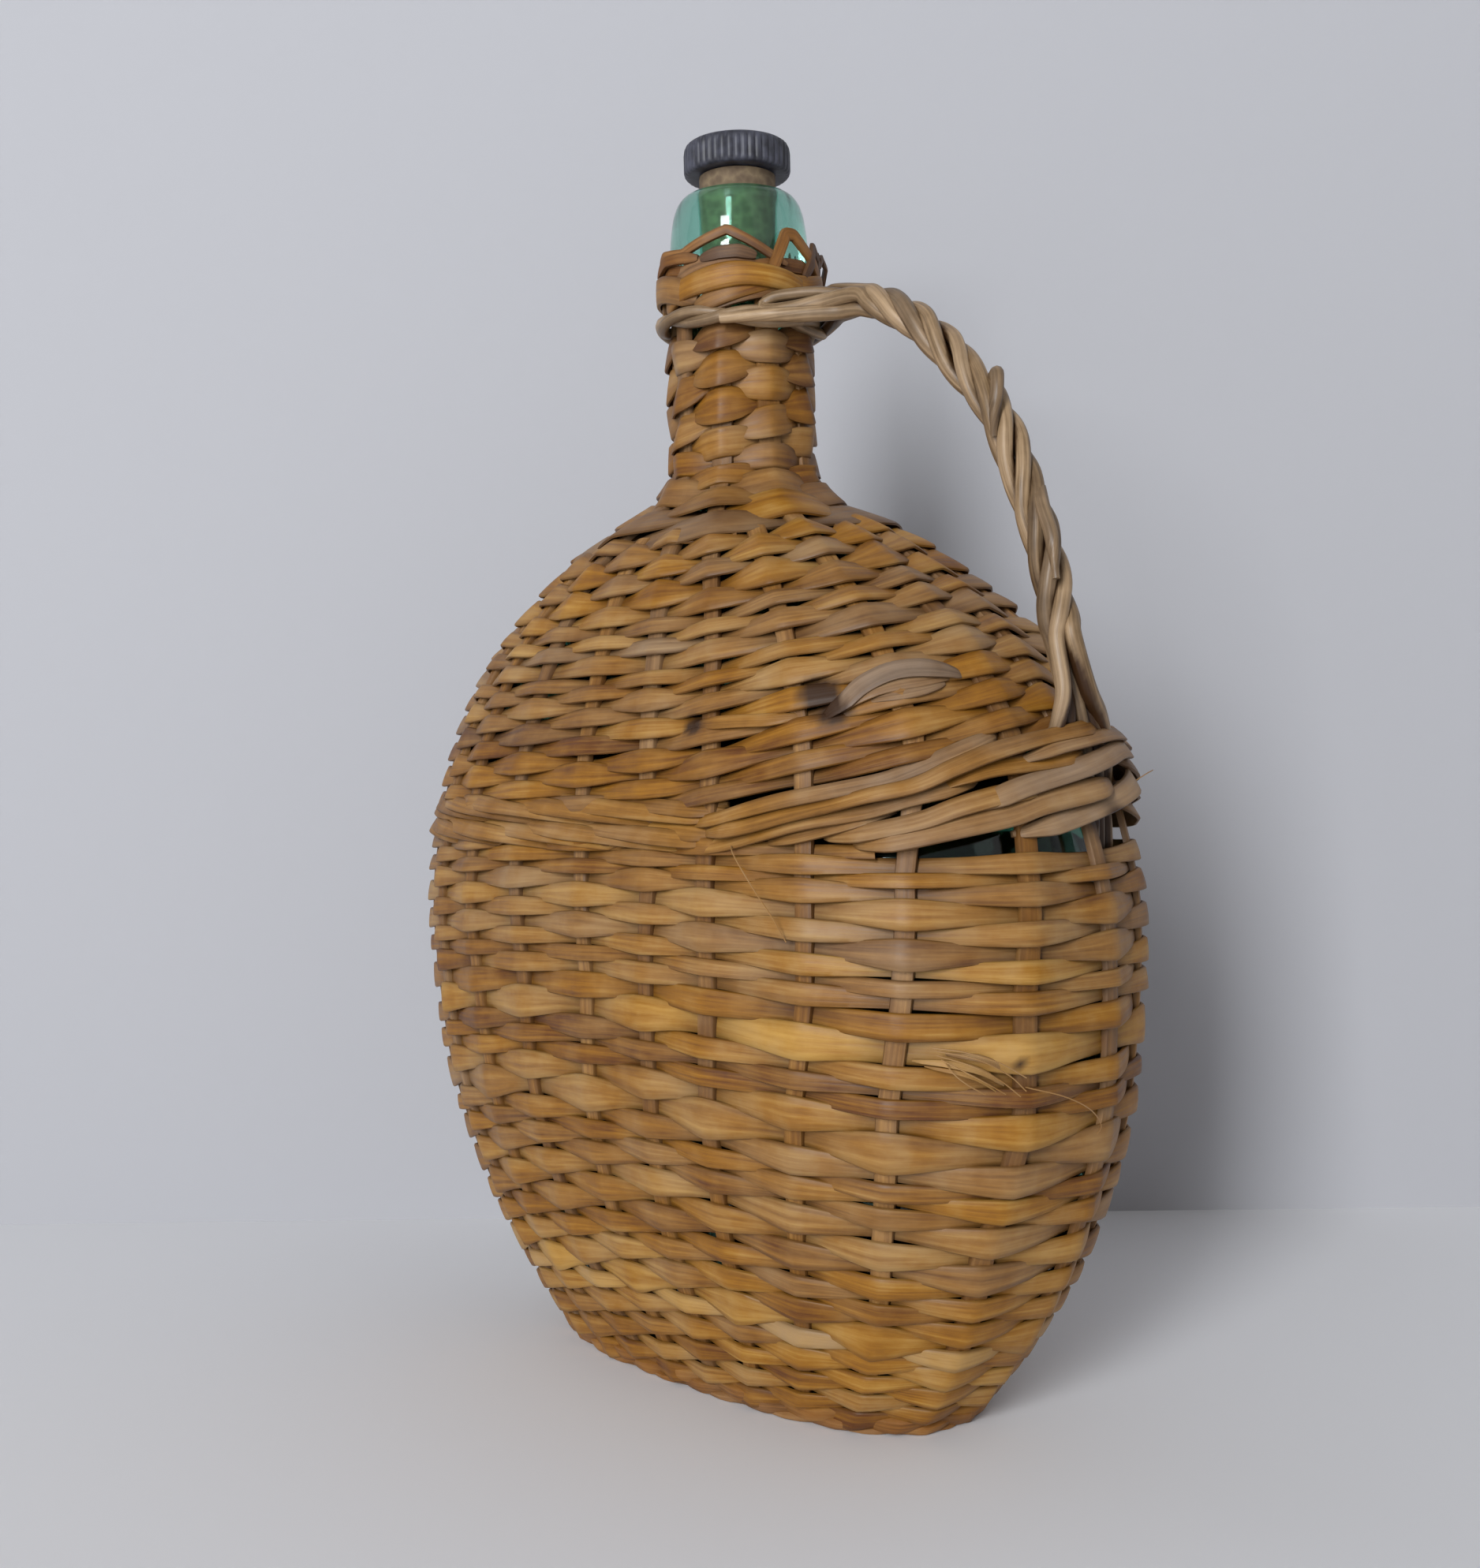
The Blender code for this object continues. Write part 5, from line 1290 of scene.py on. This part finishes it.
class FLASK_OT_turn_stopper(bpy.types.Operator):
    """Turn the cork and mould its fluted cap."""

    bl_idname = "flask.turn_stopper"
    bl_label = "Turn the stopper"

    def execute(self, context):
        sizes = context.scene.flask_sizes
        place_mesh(turned(CORK_LINE_MM, 64), "cork_plug", surface("cork"), "stopper",
                   ["stopper_cork"])
        cap = turned(CAP_LINE_MM, sizes.cap_flutes * 6)
        for corner in cap.verts:
            reach = math.hypot(corner.co.x, corner.co.y)
            if reach == 0.0:
                continue
            ring = 0.5 - 0.5 * math.cos(math.atan2(corner.co.y, corner.co.x) * sizes.cap_flutes)
            groove = 1.0 - min(1.0, ring * 1.6) ** 0.8
            deep = min(1.0, max(0.0, (reach - FLUTE_START) / FLUTE_BLEND))
            wanted = reach * sizes.cap_radius / CAP_OUTER - sizes.flute_depth * deep * groove
            corner.co.x *= wanted / reach
            corner.co.y *= wanted / reach
        place_mesh(cap, "fluted_cap", surface("cap"), "stopper", ["stopper_cap"], sharp=50.0)
        return {"FINISHED"}


# ---------------------------------------------------------------- stage


def stand(name, data):
    """Add an object to the scene and return it."""
    made = bpy.data.objects.new(name, data)
    bpy.context.scene.collection.objects.link(made)
    return made


def plane(name, place, material):
    """A flat square stage piece, 6 m wide, laid by a matrix."""
    bm = bmesh.new()
    bmesh.ops.create_grid(bm, x_segments=1, y_segments=1, size=3.0, matrix=place)
    mesh = bpy.data.meshes.new(name)
    bm.to_mesh(mesh)
    bm.free()
    mesh.materials.append(material)
    made = stand(name, mesh)


def area_light(name, place, target, size, power, tint=(1.0, 1.0, 1.0)):
    """A soft upright lamp that faces a target."""
    lamp = bpy.data.lights.new(name, "AREA")
    lamp.shape = "RECTANGLE"
    lamp.size, lamp.size_y = size
    lamp.energy, lamp.color = power, tint
    made = stand(name, lamp)
    made.location = place
    made.rotation_euler = (Vector(target) - Vector(place)).to_track_quat("-Z", "Y").to_euler()


class FLASK_OT_set_stage(bpy.types.Operator):
    """Set the pale table and wall, the soft light and the camera."""

    bl_idname = "flask.set_stage"
    bl_label = "Set the stage"

    def execute(self, context):
        colours = context.scene.flask_colours
        above = Vector((0.0, 0.0, 1.0))
        view = Vector((-math.sqrt(0.5), math.sqrt(0.5), 0.0))
        right = view.cross(above)
        facing = (-view - right * math.tan(math.radians(WALL_TURN_DEGREES))).normalized()
        upright = Matrix((above.cross(facing), above, facing)).transposed().to_4x4()
        upright.translation = view * WALL_DISTANCE + above * 3.0
        plane("backdrop", upright, plain_paint("matt_wall_paint", colours.wall, True))
        plane("floor", Matrix.Identity(4), plain_paint("matt_table_paint", colours.table, False))
        area_light("key", (0.961, -2.416, 0.98), (0, 0, 0.19), (0.6, 1.6), 68.0, (0.95, 0.975, 1.0))
        area_light("fill", (1.3, 0.2, 1.3), (0, 0, 0.17), (1.6, 1.6), 2.5)
        world = bpy.data.worlds.new("soft_room")
        world.use_nodes = True
        feed(world.node_tree, world.node_tree.nodes["Background"],
             {"Color": hex_linear("#e3e4e8"), "Strength": 0.27})
        context.scene.world = world
        camera = bpy.data.cameras.new("camera")
        camera.sensor_width, camera.lens = SENSOR_WIDTH, CAMERA_LENS
        tilt, roll = math.radians(CAMERA_TILT_DEGREES), math.radians(CAMERA_ROLL_DEGREES)
        forward = (view * math.cos(tilt) - above * math.sin(tilt)).normalized()
        upward = right.cross(forward).normalized()
        across = right * math.cos(roll) - upward * math.sin(roll)
        top = upward * math.cos(roll) + right * math.sin(roll)
        matrix = Matrix((across, top, -forward)).transposed().to_4x4()
        matrix.translation = CAMERA_PLACE
        made = stand("camera", camera)
        made.matrix_world = matrix
        context.scene.camera = made
        context.scene.view_settings.view_transform = "Standard"
        return {"FINISHED"}


STEPS = (
    FLASK_OT_blow_glass, FLASK_OT_turn_stopper, FLASK_OT_weave_foot, FLASK_OT_set_stakes,
    FLASK_OT_weave_body, FLASK_OT_bind_band, FLASK_OT_weave_neck, FLASK_OT_twist_handle,
    FLASK_OT_fold_border, FLASK_OT_set_stage,
)


class FLASK_PT_panel(bpy.types.Panel):
    """Steps and settings of the flask."""

    bl_idname = "FLASK_PT_panel"
    bl_label = "Rattan-covered flask"
    bl_space_type = "VIEW_3D"
    bl_region_type = "UI"
    bl_category = "Flask"

    def draw(self, context):
        for group in (context.scene.flask_sizes, context.scene.flask_colours):
            box = self.layout.box()
            for name in group.__annotations__:
                box.prop(group, name)
        for step in STEPS:
            self.layout.operator(step.bl_idname)


CLASSES = (FlaskSizes, FlaskColours, *STEPS, FLASK_PT_panel)


def register():
    """Add the settings, steps and panel to Blender."""
    for item in CLASSES:
        bpy.utils.register_class(item)
    bpy.types.Scene.flask_sizes = bpy.props.PointerProperty(type=FlaskSizes)
    bpy.types.Scene.flask_colours = bpy.props.PointerProperty(type=FlaskColours)


def unregister():
    """Take them away again."""
    del bpy.types.Scene.flask_colours
    del bpy.types.Scene.flask_sizes
    for item in reversed(CLASSES):
        bpy.utils.unregister_class(item)


def main():
    """Make every piece in order."""
    register()
    for step in STEPS:
        group, name = step.bl_idname.split(".")
        getattr(getattr(bpy.ops, group), name)()


if __name__ == "__main__":
    main()
